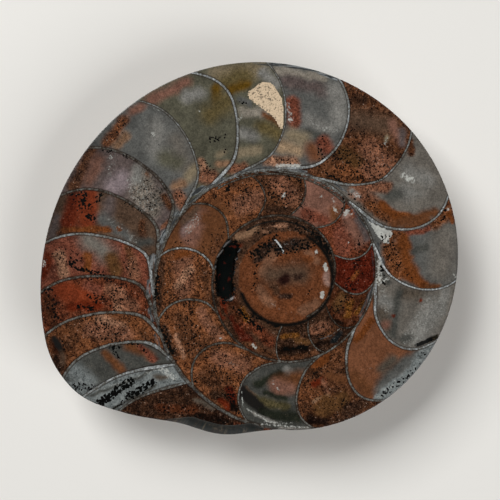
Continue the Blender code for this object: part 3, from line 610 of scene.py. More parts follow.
        ("black", 0.12, 0.24, 0.4, 0.17, 0.22, 0.9), ("silver", 0.85, 0.9, 0.95, 0.6, 0.3, 0.4),
        ("silver", 0.6, 0.04, 0.3, 0.03, 0.4, 0.6),
    )),
    570: ("sparRim", (
        ("calciteDark", 0.14, 0.78, 0.16, 0.2, 0.3), ("calciteDim", 0.84, 0.66, 0.8, 0.26, 0.3),
        ("calciteUmber", 0.5, 0.2, 0.6, 0.14, 0.6),
    ), (
        ("black", 0.46, 0.76, 0.34, 0.42, 0.85, 0.84), ("black", 0.8, 0.5, 0.62, 0.26, 0.75, 0.82),
        ("black", 0.84, 0.72, 0.84, 0.56, 0.3, 0.5), ("white", 0.08, 0.74, 0.1, 0.14, 0.3, 0.3),
        ("white", 0.2, 0.12, 0.6, 0.08, 0.7, 0.5),
    )),
    578.5: ("sandShade", (
        ("rustBrown", 0.1, 0.34, 0.24, 0.14, 0.8), ("sandRed", 0.55, 0.07, 0.8, 0.05, 0.7),
        ("oliveNight", 0.36, 0.34, 0.6, 0.18, 1.1), ("rustBlack", 0.3, 0.16, 0.45, 0.08, 0.8),
        ("calciteUmber", 0.18, 0.06, 0.3, 0.03, 0.5),
    ), (
        ("black", 0.1, 0.3, 0.5, 0.12, 1.4, 0.3), ("black", 0.3, 0.28, 0.8, 0.1, 1, 0.4),
    )),
}

# Strands of shell lie along the inner wall where the septa's tails run together: how far out they reach
# in mm by growth angle, and their cover.
tails = {"reach": ((420, 0.0), (440, 0.9), (480, 1.3), (520, 0.8), (585, 0.7), (600, 0.3)), "cover": 0.5}
# Painted shade: the outside of the last chambers is painted darker towards the outer rim. Where across
# the whorl and at what growth angles it sets in and is full, and how much darker.
rimPaintedShade = {"across": (0.7, 0.95), "growth": (488, 505), "stain": 0.36}
# Markings with a clear edge: kind, chamber, and the corners of the outline as places in the chamber.
outlines = (
    ("cream", 450, (  # chalky filling, weathered soft
        (0.68, 0.70), (0.67, 0.725), (0.53, 0.755), (0.42, 0.79), (0.32, 0.81), (0.18, 0.805), (0.13, 0.77),
        (0.10, 0.715), (0.045, 0.67), (0.045, 0.58), (0.04, 0.46), (0.02, 0.37), (0.12, 0.41), (0.21, 0.475),
        (0.32, 0.52), (0.46, 0.565), (0.59, 0.615), (0.68, 0.655),
    )),
    ("white", 355.4, (  # a tooth of white spar between two tails
        (0.72, 0.05), (0.62, 0.07), (0.57, 0.11), (0.60, 0.16), (0.66, 0.19), (0.76, 0.20), (0.88, 0.25),
        (0.95, 0.25), (0.95, 0.17), (0.91, 0.10), (0.82, 0.05),
    )),
)


# The section is a square grid drawn out to a disc, then to the half's outline. The outside is rings drawn
# out from its rim. Sizes are in mm and angles in degrees.
half = {
    "gridSteps": 236,
    "arris": 0.25,  # the ground edge between the section and the outside
    "sharpAngle": 35,
    # a ledge of matrix along the break, lower than the section
    "ledgeMiddle": 246,
    "ledgeSpan": 18,
    "ledgeWidth": 1.9,
    "ledgeDrop": 1.5,
    "ledgeRings": 6,
    "ledgeLumps": (0.35, 1.1),  # how high they stand, and their size
    "ledgeFrom": 0.15,  # share of the ledge's full width at which its stone sets in
    "ledgeBack": 1.3,  # the flank starts this many times as deep as the ledge
    # the back's rings, crowded towards the rim, and the hub that closes them
    "backRings": 30,
    "ringCrowding": 0.9,
    "hubShare": 0.02,
    "hubDepth": 4.6,
    "hubRadius": 7.0,
    # a whorl's flank
    "thickness": 13.0,
    "oversize": 1.02,
    "fullGrown": 400,  # growth angle past which the shell no longer thickens
    "umbilicus": 0.42,  # of the wall's radius, where a whorl's flank starts
    "flatness": 3.2,
    "umbilicalSlope": 1.7,
    "seamSoftness": 0.8,
    "noFlank": -9,  # depth that stands for a flank that isn't there
    # the broken end of the last whorl
    "breakTaper": 236,
    "breakSlope": 4.0,
    "breakShows": 3.0,
    "growthLine": 1.5,  # from one growth line to the next
    "growthLineDepth": 0.07,
    "growthLineLean": 9,  # how far a line leads at the outer edge
    "wornDepth": (0.1, 1.5),  # below the highest part of the flank, where the lines are gone and where full
    "wornHub": (6, 14),  # the same, by radius
    # the open cavity near the coil's axis
    "cavityAngle": 173,
    "cavitySpan": 31,
    "cavityRadius": 11.8,
    "cavityWidth": 1.9,
    "cavityDepth": 1.9,
    "cavitySide": 0.45,  # share of the cavity's half width over which its floor sinks
    "cavityFrom": 0.08,  # how far inside the cavity its crust and its painted shade set in
}


def ledge(angle):
    reach = half["ledgeSpan"] - np.abs(angle - half["ledgeMiddle"])
    return smoothStep(reach, 0, half["ledgeSpan"] / 2)


def whorlDepth(growth, radius):
    # how far one whorl's flank lies below the section
    outer = wallRadius(growth)
    seam = outer * half["umbilicus"]
    across = np.clip((radius - seam) / (outer - seam), 0, 1)
    shrink = np.exp(coil["growthRate"] * np.radians(np.minimum(growth - half["fullGrown"], 0)))
    inner = 1 - np.clip(1 - 2 * across, 0, 1) ** half["umbilicalSlope"]
    outside = np.sqrt(1 - np.clip(2 * across - 1, 0, 1) ** half["flatness"])
    return half["thickness"] * half["oversize"] * shrink * np.where(across < 0.5, inner, outside)


def flankDepth(angle, radius):
    depths = [half["hubDepth"] * (1 - (radius / half["hubRadius"]) ** 2)]
    depths += [whorlDepth(angle + turn, radius) for turn in (-360, 0)]
    edge = edgeRadius(angle)
    slope = np.sqrt(np.clip((edge - radius) / half["breakSlope"], 0, 1))
    broken = smoothStep(wallRadius(angle + 360) - edge, 0, half["breakShows"])
    last = whorlDepth(angle + 360, radius) * (1 - broken + broken * slope)
    last *= 1 - smoothStep(angle, half["breakTaper"], 270)
    depths.append(np.where(angle < coil["breakEnd"], last, 0))
    depths = np.maximum(np.array(depths), half["noFlank"])
    deepest = depths.max(0)
    blend = np.where(depths > 0, np.exp((depths - deepest) / half["seamSoftness"]), 0).sum(0)
    soft = deepest + half["seamSoftness"] * np.log(np.maximum(blend, 1))
    # growth lines lean forward towards the outer edge, and wear off where the flank is highest
    leaning = angle - half["growthLineLean"] * (radius / edge) ** 3
    line = np.sin(2 * np.pi * leaning / half["growthLine"])
    worn = smoothStep(half["thickness"] - soft, *half["wornDepth"]) * smoothStep(radius, *half["wornHub"])
    return np.minimum(soft, half["thickness"]) - half["growthLineDepth"] * (1 + line) * worn


noise.seed_set(1)  # Blender starts its vector noise from the clock otherwise


def noiseAt(points, size, seed):
    # smooth three-way noise at points in mm, about -1 to 1, with features of this size
    shift = Vector((seed * 17.3, seed * 5.1, seed * 9.7))
    return np.array([noise.noise_vector(Vector((x / size, y / size, 0)) + shift) for x, y in points])


def ledgeRing(angle, share):
    # radius and depth of a ring on the arris and the ledge, from the section's edge at 0 to the rim at 1
    reach = 1 - share
    width = half["arris"] + half["ledgeWidth"] * ledge(angle)
    drop = half["arris"] + half["ledgeDrop"] * ledge(angle)
    radius = edgeRadius(angle) - width * reach
    height, size = half["ledgeLumps"]
    lumps = noiseAt(fromCoil(angle, radius) / mm, size, 3)[:, 0]
    lumps = lumps * height * ledge(angle) * reach * min(1, 3 * share)
    return radius, drop * np.sqrt(1 - reach ** 2) + np.abs(lumps)


def backRing(angle, share):
    # radius and depth of a ring on the outside, from the rim at 0 to the hub at 1
    quarter = math.pi / 2 * (1 - share * (1 - half["hubShare"]))
    radius = edgeRadius(angle) * math.sin(quarter) ** half["ringCrowding"]
    least = half["ledgeBack"] * (half["arris"] + half["ledgeDrop"] * ledge(angle))
    return radius, np.maximum(flankDepth(angle, radius), least)


def addRing(bm, rim, place, share, material):
    # draws the open rim out to one more ring, at the radius and depth that place gives for this share of
    # the way, and gives each new face the material for its angle
    made = bmesh.ops.extrude_edge_only(bm, edges=rim)["geom"]
    ring = [item for item in made if isinstance(item, bmesh.types.BMVert)]
    angles, _ = toCoil(np.array([vert.co for vert in ring], float))
    radii, depths = place(angles, share)
    for vert, spot, depth in zip(ring, fromCoil(angles, radii), depths):
        vert.co = (spot[0], spot[1], faceHeight - depth * mm)
    for face in made:
        if isinstance(face, bmesh.types.BMFace):
            face.material_index = material(toCoil(np.array([face.calc_center_median()]))[0])
    return [item for item in made if isinstance(item, bmesh.types.BMEdge) and item.is_boundary]


def nearTurn(angle, growth):
    # the growth angle at this angle that lies nearest to a given one
    return growth + (np.asarray(angle, float) - growth + 180) % 360 - 180


def cavityInside(angle, radius):
    # 1 at the middle of the open cavity, 0 at its rim, less outside it
    along = nearTurn(angle, half["cavityAngle"]) - half["cavityAngle"]
    return 1 - np.hypot(along / half["cavitySpan"], (radius - half["cavityRadius"]) / half["cavityWidth"])


# the half's materials by index
polished, matrix, natural, crustedAndShaded = range(4)


def ledgeStone(angle):
    return matrix if ledge(angle)[0] > half["ledgeFrom"] else polished


def backStone(angle):
    return natural


def makeHalf():
    steps = half["gridSteps"]
    bm = bmesh.new()
    bmesh.ops.create_grid(bm, x_segments=steps, y_segments=steps, size=1)
    x, y, _ = np.array([vert.co for vert in bm.verts], float).T
    disc = np.stack([x * np.sqrt(1 - y * y / 2), y * np.sqrt(1 - x * x / 2)], 1)
    angle, share = toAngle(disc)
    reach = edgeRadius(angle) - half["arris"] - half["ledgeWidth"] * ledge(angle)
    for vert, spot in zip(bm.verts, fromCoil(angle, share * reach)):
        vert.co = (spot[0], spot[1], faceHeight)
    print("section: %d faces" % len(bm.faces))

    rim = [edge for edge in bm.edges if edge.is_boundary]
    for i in range(1, half["ledgeRings"] + 1):
        rim = addRing(bm, rim, ledgeRing, i / half["ledgeRings"], ledgeStone)
    for i in range(1, half["backRings"]):
        rim = addRing(bm, rim, backRing, i / half["backRings"], backStone)
    hub = bmesh.ops.contextual_create(bm, geom=rim)["faces"]
    hub[0].material_index = natural
    bmesh.ops.poke(bm, faces=hub)
    bmesh.ops.recalc_face_normals(bm, faces=bm.faces)
    print("half: %d faces" % len(bm.faces))
    return bm


# The markings are fields held at the mesh's points, which the materials read. The border between two
# minerals wanders, in broad lobes and in small ones. Sizes are in mm.
borders = {
    "lobes": ((0.45, 2.6, 1), (0.25, 0.9, 2)),  # how far a border wanders, the size of its lobes, and a seed
    "marksFollow": 0.3,  # share of that wander which a mark follows
    "markEdge": (0.25, 0.2),  # how far inside and outside a mark its edge fades
    "outlinesFollow": 0.25,
    "outlineEdge": 0.12,
    "farthest": 9,  # in half widths, where a line is no longer told apart
    "cavityLumps": (0.14, 1.5, 5),  # share of the cavity's depth, size and seed
    "chalkSunk": (0.09, 0.03, 0.9, 6),  # the chalky patch's depth, its lumps' height and size, and a seed
}
lines = {
    "step": 0.1,  # mm between a line's points
    # a septum's width at its outer end, middle, tail and tip, and the growth angle from which tails swell
    "slim": (0.9, 1.0, 1.0, 0.7),
    "swell": (0.9, 1.0, 1.5, 0.7),
    "swellFrom": 300,
    "septumPoints": 120,
    "tailTone": 0.12,
    # walls and finer rings: growth angle at start and end, mm inside the wall, half width, tone
    "walls": (
        (-420, -100, 0.0, 0.17, 0.25),
        (-100, 60, 0.0, 0.16, 0.45),
        (60, 140, 0.0, 0.21, 0.6),
        (140, 262, 0.0, 0.28, 0.4),
        (52, 128, 0.85, 0.13, 0.35),
        (-310, -230, 1.1, 0.12, 0.1),
    ),
    # rings round the innermost disc: angle at start and end, radius at start and end, half width, tone
    "rings": (
        (-160, 60, 8.9, 9.0, 0.24, -0.1),
        (95, 106, 5.1, 7.6, 0.17, 1.8),  # a scratch across the disc
    ),
}


def linear(hexColour):
    # sRGB hex to linear
    parts = [int(hexColour[i:i + 2], 16) / 255 for i in (1, 3, 5)]
    return [c / 12.92 if c <= 0.04045 else ((c + 0.055) / 1.055) ** 2.4 for c in parts]


def evenCurve(points, width, tone):
    # a line's points at even steps, with its heading, half width and tone at each
    along = np.concatenate([[0], np.cumsum(np.linalg.norm(np.diff(points, axis=0), axis=1))])
    steps = np.arange(0, along[-1], lines["step"])
    spots = np.stack([np.interp(steps, along, points[:, i]) for i in (0, 1)], 1)
    heading = np.gradient(spots, axis=0)
    heading /= np.linalg.norm(heading, axis=1)[:, None]
    share = steps / along[-1]
    swell = np.interp(share, (0, 0.6, 0.85, 1), width if np.ndim(width) else [width] * 4)
    tones = np.interp(share, (0.6, 1), tone if np.ndim(tone) else [tone] * 2)
    return np.column_stack([spots, heading, swell, tones])


def roundCurve(growth, radius, width, tone):
    return evenCurve(circle(growth) * radius[:, None], width, tone)


def wallCurves():
    curves = []
    for first, last, inside, width, tone in lines["walls"]:
        growth = np.arange(first, last, 1.0)
        curves.append(roundCurve(growth, wallRadius(growth) - inside, width, tone))
    for first, last, startRadius, endRadius, width, tone in lines["rings"]:
        growth = np.arange(first, last, 1.0)
        curves.append(roundCurve(growth, np.linspace(startRadius, endRadius, len(growth)), width, tone))
    return curves


def septumLines(remainder):
    # every other septum, from its outer end to the tip of its tail
    across = np.linspace(1, 0, lines["septumPoints"])
    curves = []
    for start in starts[remainder::2]:
        width, tone = septa[start][4:]
        swells = start > lines["swellFrom"]
        swell = [width * share for share in lines["swell" if swells else "slim"]]
        tones = (tone, tone + swells * lines["tailTone"])
        curves.append(evenCurve(chamberPlace(start, 0, across), swell, tones))
    return curves


def lineField(spots, curves):
    # distance from the nearest line in half widths, with a sign for its side and without, and its tone.
    # The sign keeps a thin line whole between points, and the plain distance hides where the side flips.
    samples = np.concatenate(curves)
    tree = kdtree.KDTree(len(samples))
    for i, sample in enumerate(samples):
        tree.insert((sample[0], sample[1], 0), i)
    tree.balance()
    found = np.array([tree.find((x, y, 0))[1:] for x, y in spots])
    nearest = samples[found[:, 0].astype(int)]
    away = spots - nearest[:, :2]
    side = nearest[:, 2] * away[:, 1] - nearest[:, 3] * away[:, 0]
    past = np.abs((nearest[:, 2:4] * away).sum(1)) > 1.2 * lines["step"]
    side = np.where(past, np.copysign(found[:, 1], side), side)
    return side / nearest[:, 4], found[:, 1] / nearest[:, 4], nearest[:, 5]


def strokeDistance(spots, start, ends):
    # distance in mm to the straight stroke between two places of a chamber
    first = chamberPlace(start, *ends[:2])
    along = chamberPlace(start, *ends[2:]) - first
    away = spots - first
    share = np.clip(away @ along / max(along @ along, 1e-6), 0, 1)
    return np.linalg.norm(away - share[:, None] * along, axis=1)


def outlineDepth(spots, edge):
    # how deep in mm each spot lies inside a closed outline, negative outside it
    inside = np.zeros(len(spots), bool)
    depth = np.full(len(spots), 99.0)
    for a, b in zip(edge, np.roll(edge, -1, axis=0)):
        run = b - a
        away = spots - a
        share = np.clip(away @ run / (run @ run), 0, 1)
        depth = np.minimum(depth, np.linalg.norm(away - share[:, None] * run, axis=1))
        crosses = (a[1] > spots[:, 1]) != (b[1] > spots[:, 1])
        inside ^= crosses & (away[:, 0] < run[0] * away[:, 1] / (run[1] or 1e-9))
    return np.where(inside, depth, -depth)


def paintChambers(spots, wander, chamber):
    # each point's mineral, as colour, grain, mottle and matt, and how far marks of each kind cover it
    palette = {name: np.array(linear(look[0]) + list(look[1:4])) for name, look in minerals.items()}
    look = np.zeros((len(spots), 6))
    cover = {kind: np.zeros(len(spots)) for kind in ("black", "white", "silver", "cream")}
    inner, outer = borders["markEdge"]
    for start, (main, patches, marks) in chambers.items():
        members = np.flatnonzero(chamber == start)
        look[members] = palette[main]
        bent = (spots + wander)[members]
        for name, *ends, halfWidth in patches:
            soft = halfWidth * minerals[name][4]
            away = strokeDistance(bent, start, ends)
            amount = 1 - smoothStep(away, halfWidth - soft, halfWidth + soft)[:, None]
            look[members] += amount * (palette[name] - look[members])
        bent = spots[members] + borders["marksFollow"] * wander[members]
        for kind, *ends, halfWidth, amount in marks:
            away = strokeDistance(bent, start, ends)
            touched = 1 - smoothStep(away, halfWidth - inner, halfWidth + outer)
            cover[kind][members] = np.maximum(cover[kind][members], touched * amount)
    counts = [sum(len(filling[i]) for filling in chambers.values()) for i in (1, 2)]
    print("markings: %d patches, %d marks" % tuple(counts))
    return look, cover


def coverMore(cover, spots, wander, growth, fromWall):
    # adds the strands along the inner wall, and the markings with a clear edge
    reach = np.interp(growth, *zip(*tails["reach"]))
    strands = (reach > 0) * (1 - smoothStep(fromWall, 0.3 * reach, reach + 0.01))
    cover["silver"] = np.maximum(cover["silver"], tails["cover"] * strands)
    edgeWidth = borders["outlineEdge"]
    for kind, start, points in outlines:
        edge = chamberPlace(start, *np.array(points).T)
        depth = outlineDepth(spots + borders["outlinesFollow"] * wander, edge)
        cover[kind] = np.maximum(cover[kind], smoothStep(depth, -edgeWidth, edgeWidth))


def lineFields(spots):
    # the walls and the septa, alternate septa apart, so that the side of a line never flips between two
    fields = {}
    sets = [lineField(spots, curves) for curves in (wallCurves(), septumLines(0), septumLines(1))]
    nearest = np.argmin([field[1] for field in sets], axis=0)
    fields["lineTone"] = np.choose(nearest, [field[2] for field in sets])
    farthest = borders["farthest"]
    for name, (signed, plain, _) in zip(("wall", "even", "odd"), sets):
        fields[name + "Line"] = np.clip(signed, -farthest, farthest)
        fields[name + "Away"] = np.clip(plain, 0, farthest)
    return fields


def writeField(mesh, name, values, kind="FLOAT", key="value"):
    # one value, colour or vector at each of the mesh's points
    data = mesh.attributes.new(name, kind, "POINT").data
    data.foreach_set(key, np.asarray(values, np.float32).ravel())


def sinkMarkings(mesh, co, spots, inside, cream):
    # the cavity is sunk into the section, and the chalky patch lies a little below the polish
    onFace = co[:, 2] > faceHeight - 1e-6
    floor = smoothStep(inside, 0.0, half["cavitySide"]) * half["cavityDepth"]
    share, size, seed = borders["cavityLumps"]
    floor *= 1 - share + share * noiseAt(spots, size, seed)[:, 0]
    depth, height, size, seed = borders["chalkSunk"]
    chalk = smoothStep(cream, 0.5, 1.0) * (depth + height * noiseAt(spots, size, seed)[:, 0])
    co[:, 2] -= np.where(onFace, np.maximum(floor, chalk), 0) * mm
    mesh.vertices.foreach_set("co", co.ravel())
    for polygon in mesh.polygons:
        if polygon.material_index == polished and min(inside[list(polygon.vertices)]) > half["cavityFrom"]:
            polygon.material_index = crustedAndShaded
    mesh.update()


def paintMarkings(mesh):
    co = np.empty(len(mesh.vertices) * 3)
    mesh.vertices.foreach_get("co", co)
    co = co.reshape(-1, 3)
    spots = (co[:, :2] - coilAxis) / unit
    chamber, growth, across, fromWall = findChamber(spots)
    wander = sum(reach * noiseAt(spots, size, seed)[:, :2] for reach, size, seed in borders["lobes"])
    look, cover = paintChambers(spots, wander, chamber)
    coverMore(cover, spots, wander, growth, fromWall)
    # painted shade: the last chambers are darkened towards the outer rim
    stained = smoothStep(across, *rimPaintedShade["across"]) * smoothStep(growth, *rimPaintedShade["growth"])
    look[:, :3] *= 1 - rimPaintedShade["stain"] * stained[:, None]
    inside = cavityInside(*toAngle(spots + wander))
    fields = {"grain": look[:, 3], "mottle": look[:, 4], "matt": look[:, 5], "hollow": inside}
    for name, values in {**fields, **cover, **lineFields(spots)}.items():
        writeField(mesh, name, values)
    writeField(mesh, "mineral", np.column_stack([look[:, :3], np.ones(len(co))]), "FLOAT_COLOR", "color")
    # where a point lies along the whorl and from its inner wall, in mm, for what is drawn out along it
    drawn = np.column_stack([np.radians(growth) * wallRadius(growth - 360), fromWall, 0 * growth])
    writeField(mesh, "drawn", drawn, "FLOAT_VECTOR", "vector")
    sinkMarkings(mesh, co, spots, inside, cover["cream"])


def addNode(tree, kind, settings=None, **sockets):
    # one node with its settings; a socket's spaces are written as underscores, and a number picks by place
    node = tree.nodes.new("ShaderNode" + kind)
    for name, value in (settings or {}).items():
        setattr(node, name, value)
    for name, value in sockets.items():
        key = int(name[1:]) if name[1:].isdigit() else name.replace("_", " ")
        if isinstance(value, bpy.types.NodeSocket):
            tree.links.new(value, node.inputs[key])
        else:
            node.inputs[key].default_value = value
    return node


def newMaterial(name):
    material = bpy.data.materials.new(name)
    material.use_nodes = True
    return material, material.node_tree, material.node_tree.nodes["Principled BSDF"]


def opaque(hexColour):
    return linear(hexColour) + [1.0]


def placeInMm(tree):
    coords = addNode(tree, "TexCoord").outputs["Object"]
    return addNode(tree, "VectorMath", {"operation": "SCALE"}, Vector=coords, Scale=1 / mm).outputs[0]


def drawnOut(tree, scale):
    # places along a whorl and away from its inner wall, in mm, scaled to draw a pattern out along it
    drawn = addNode(tree, "Attribute", {"attribute_name": "drawn"}).outputs["Vector"]
    return addNode(tree, "Mapping", None, Vector=drawn, Scale=scale).outputs["Vector"]


def mixColours(tree, factor, a, b, blend="MIX"):
    node = addNode(tree, "Mix", {"data_type": "RGBA", "blend_type": blend}, _0=factor, _6=a, _7=b)
    return node.outputs[2]


def smoothRamp(tree, value, low, high, to0=0.0, to1=1.0):
    node = addNode(
        tree, "MapRange", {"interpolation_type": "SMOOTHSTEP"},
        Value=value, From_Min=low, From_Max=high, To_Min=to0, To_Max=to1,
    )
    return node.outputs["Result"]


def setShader(tree, shader, base, bump, values):
    # joins the base colour and the bump to the shader, and sets what is the same all over
    tree.links.new(base, shader.inputs["Base Color"])
    tree.links.new(bump.outputs["Normal"], shader.inputs["Normal"])
    for name, value in values.items():
        shader.inputs[name].default_value = value


section = {
    "roughness": 0.24,  # lapped and polished calcite
    "mattRoughness": 0.8,
    "specular": 0.25,  # half of what clear calcite gives: the section is read in soft, shaded light
    "ior": 1.55,  # between calcite's two indices, 1.49 and 1.66
    # sizes in mm
    "cloud": 3.5,
    "stain": 1.7,
    "sand": 0.55,
    "fine": 0.27,
    "speck": 0.5,
    "darkGrains": 0.42,
    "paleGrains": 0.62,
    "sparkle": 0.36,
    "brush": 0.7,
    "strand": (0.22, 2.6, 1.0),  # strands to the mm, along the wall and away from it
    "blotch": 0.9,
    "stainDark": "#1d120b",
    "grainDark": "#6e5a50",  # multiplies what is under it
    "grainBlack": "#130c08",
    "glint": "#a48c7c",
    "grainPale": "#a88672",
    "grainBoost": (1.9, 1.8, 1.75, 1.0),  # multiplies what is under it
    "pinkness": 0.14,
    "black": "#060605",
    "white": "#bcbdb6",
    "mottlePale": "#8c908d",
    "cream": "#cdb698",
    "bumpDepth": 0.02,
}
# colours of the walls by tone
tones = ((0.0, "#090908"), (0.3, "#3a322a"), (0.6, "#64645f"), (0.85, "#8a8e8f"), (1.0, "#b9bcbb"))


def polishedSection():
    # calcite and iron-stained lime mud, sawn and polished: glassy and cloudy in the clear fillings,
    # sandy with dark grains in the stained ones, with thin silvery walls between
    material, tree, shader = newMaterial("polishedSection")

    def field(name):
        return addNode(tree, "Attribute", {"attribute_name": name}).outputs["Fac"]

    def maths(operation, a, b=0.0, clamp=False):
        return addNode(tree, "Math", {"operation": operation, "use_clamp": clamp}, _0=a, _1=b).outputs[0]

    def ramp(*values):
        return smoothRamp(tree, *values)

    def speckle(size, detail, roughness, seed, distortion=0.0):
        node = addNode(
            tree, "TexNoise", {"noise_dimensions": "4D"},
            Vector=place, W=seed, Scale=1 / size, Detail=detail, Roughness=roughness, Distortion=distortion,
        )
        return node.outputs["Fac"]

    def scattered(size):
        # how far from the middle of the nearest of many scattered grains, in grain spacings
        return addNode(tree, "TexVoronoi", None, Vector=place, Scale=1 / size).outputs["Distance"]

    def mix(*values):
        return mixColours(tree, *values)

    def colour(name):
        return opaque(section[name])

    def covered(name, noise, softness=0.07):
        # a field of cover against a noise: specks where it is low, solid where it is 1
        spread = ramp(noise, 0.3, 0.7, softness, 1 - softness)
        return ramp(maths("SUBTRACT", field(name), spread), -softness, softness)

    place = placeInMm(tree)
    stone = addNode(tree, "Attribute", {"attribute_name": "mineral"}).outputs["Color"]
    grain, mottle, matt, hollow = field("grain"), field("mottle"), field("matt"), field("hollow")

    # clouds in the calcite, and darker and paler stains in the sandy fillings
    cloud = speckle(section["cloud"], 4, 0.6, 1.0, 0.6)
    stone = mix(1.0, stone, ramp(cloud, 0.25, 0.75, 0.78, 1.24), "MULTIPLY")
    stain = speckle(section["stain"], 4, 0.65, 9.0, 0.3)
    stained = mix(1.0, stone, ramp(stain, 0.34, 0.66, 0.5, 1.45), "MULTIPLY")
    stone = mix(maths("MULTIPLY", grain, 0.8), stone, stained)
    # sandy grain: dark brown and pale pinkish grains in the stained mud
    sand = speckle(section["sand"], 2, 0.6, 2.0, 0.4)
    fine = speckle(section["fine"], 1, 0.5, 3.0, 0.4)
    both = maths("ADD", maths("MULTIPLY", sand, 0.5), maths("MULTIPLY", fine, 0.5))
    stone = mix(1.0, stone, ramp(both, 0.35, 0.65, 0.8, 1.2), "MULTIPLY")
    darkGrain = mix(1.0, stone, colour("grainDark"), "MULTIPLY")
    paleGrain = mix(1.0, stone, section["grainBoost"], "MULTIPLY")
    paleGrain = mix(section["pinkness"], paleGrain, colour("grainPale"))
    stone = mix(maths("MULTIPLY", ramp(both, 0.49, 0.38), grain), stone, darkGrain)
    stone = mix(maths("MULTIPLY", ramp(both, 0.51, 0.63), maths("MULTIPLY", grain, 0.7)), stone, paleGrain)
    # single dark grains, thickly strewn in places and thinly in others, and pale glints between them
    strewn = maths("MULTIPLY", ramp(stain, 0.66, 0.36, 0.0, 0.22), grain)
    darkest = maths("SUBTRACT", scattered(section["darkGrains"]), strewn)
    stone = mix(maths("MULTIPLY", ramp(darkest, 0.13, 0.05), grain), stone, colour("grainBlack"))
    glints = maths("ADD", scattered(section["paleGrains"]), ramp(sand, 0.6, 0.45, 0.0, 0.2))
    stone = mix(maths("MULTIPLY", ramp(glints, 0.2, 0.1, 0.0, 0.75), grain), stone, colour("glint"))
    # mottled spar: black and white patches drawn out by cracks
    blotch = speckle(section["blotch"], 5, 0.75, 5.0, 0.5)
    pale = maths("MULTIPLY", ramp(blotch, 0.5, 0.68), mottle)
    dark = maths("MULTIPLY", ramp(blotch, 0.49, 0.36), mottle)
    stone = mix(maths("MULTIPLY", pale, 0.8), stone, colour("mottlePale"))
    stone = mix(maths("MULTIPLY", dark, 0.85), stone, colour("black"))

    speck = maths("MULTIPLY", speckle(section["speck"], 2, 0.6, 4.0), 0.5)
    speck = maths("ADD", speck, maths("MULTIPLY", scattered(section["speck"]), 0.5))
    sparkle = speckle(section["sparkle"], 2, 0.6, 6.0)
    brush = speckle(section["brush"], 3, 0.7, 7.0, 0.5)
    chalk = ramp(field("cream"), 0.42, 0.58)
    pitted = mix(1.0, colour("cream"), ramp(sparkle, 0.38, 0.45, 0.3, 1.0), "MULTIPLY")
    pitted = mix(1.0, pitted, ramp(fine, 0.3, 0.6, 0.78, 1.04), "MULTIPLY")
    stone = mix(chalk, stone, pitted)
    silver = addNode(tree, "ValToRGB")
    stops = silver.color_ramp.elements
    for i, (at, shade) in enumerate(tones):
        between = 0 < i < len(tones) - 1
        stop = stops.new(at) if between else stops[-(i > 0)]
        stop.position = at
        stop.color = opaque(shade)
    # walls and septa: a silvery core between dark edges, a little uneven
    wander = maths("MULTIPLY", maths("SUBTRACT", brush, 0.5), 1.2)
    nearest = None
    for name in ("wall", "even", "odd"):
        signed = maths("ABSOLUTE", field(name + "Line"))
        away = maths("MAXIMUM", signed, maths("SUBTRACT", field(name + "Away"), 1.0))
        nearest = away if nearest is None else maths("MINIMUM", nearest, away)
    line = maths("ADD", nearest, wander)
    beads = maths("MULTIPLY", maths("SUBTRACT", sparkle, 0.52), 1.3)
    beads = maths("ADD", beads, maths("SUBTRACT", stain, 0.5))
    tree.links.new(maths("ADD", field("lineTone"), beads), silver.inputs[0])
    stone = mix(maths("MULTIPLY", ramp(line, 2.4, 1.2), 0.8), stone, colour("stainDark"))
    stone = mix(maths("MULTIPLY", ramp(line, 1.2, 0.6), 0.95), stone, silver.outputs[0])

    # strands of shell drawn out along the walls: silvery, with dark gaps between them
    drawn = drawnOut(tree, section["strand"])
    strand = addNode(
        tree, "TexNoise", None, Vector=drawn, Scale=1.0, Detail=3, Roughness=0.6, Distortion=0.4,
    ).outputs["Fac"]
    brushed = mix(1.0, opaque(tones[3][1]), ramp(strand, 0.42, 0.6, 0.12, 1.15), "MULTIPLY")
    stone = mix(covered("silver", strand, 0.2), stone, brushed)
    whitish = mix(1.0, colour("white"), ramp(brush, 0.3, 0.7, 0.7, 1.1), "MULTIPLY")
    stone = mix(maths("MULTIPLY", covered("white", sparkle, 0.25), 0.85), stone, whitish)
    stone = mix(covered("black", speck), stone, colour("black"))
    # the open cavity is painted black: partly its dark lining, partly painted shade in the hollow
    stone = mix(ramp(maths("ADD", hollow, wander), -0.05, 0.05), stone, colour("black"))

    rough = ramp(maths("MAXIMUM", matt, chalk), 0.0, 1.0, section["roughness"], section["mattRoughness"])
    height = maths("MULTIPLY", both, maths("MULTIPLY", grain, 0.5))
    height = maths("ADD", height, maths("MULTIPLY", cloud, 0.1))
    bump = addNode(tree, "Bump", None, Strength=0.6, Distance=section["bumpDepth"] * mm, Height=height)
    tree.links.new(rough, shader.inputs["Roughness"])
    setShader(tree, shader, stone, bump, {"IOR": section["ior"], "Specular IOR Level": section["specular"]})
    return material


crustAndShade = {
    "black": "#040706",
    "rust": "#4a160c",
    "fleck": 1.3,  # mm
    "relief": 0.2,  # mm
    "roughness": 0.9,
    "specular": 0.08,
}


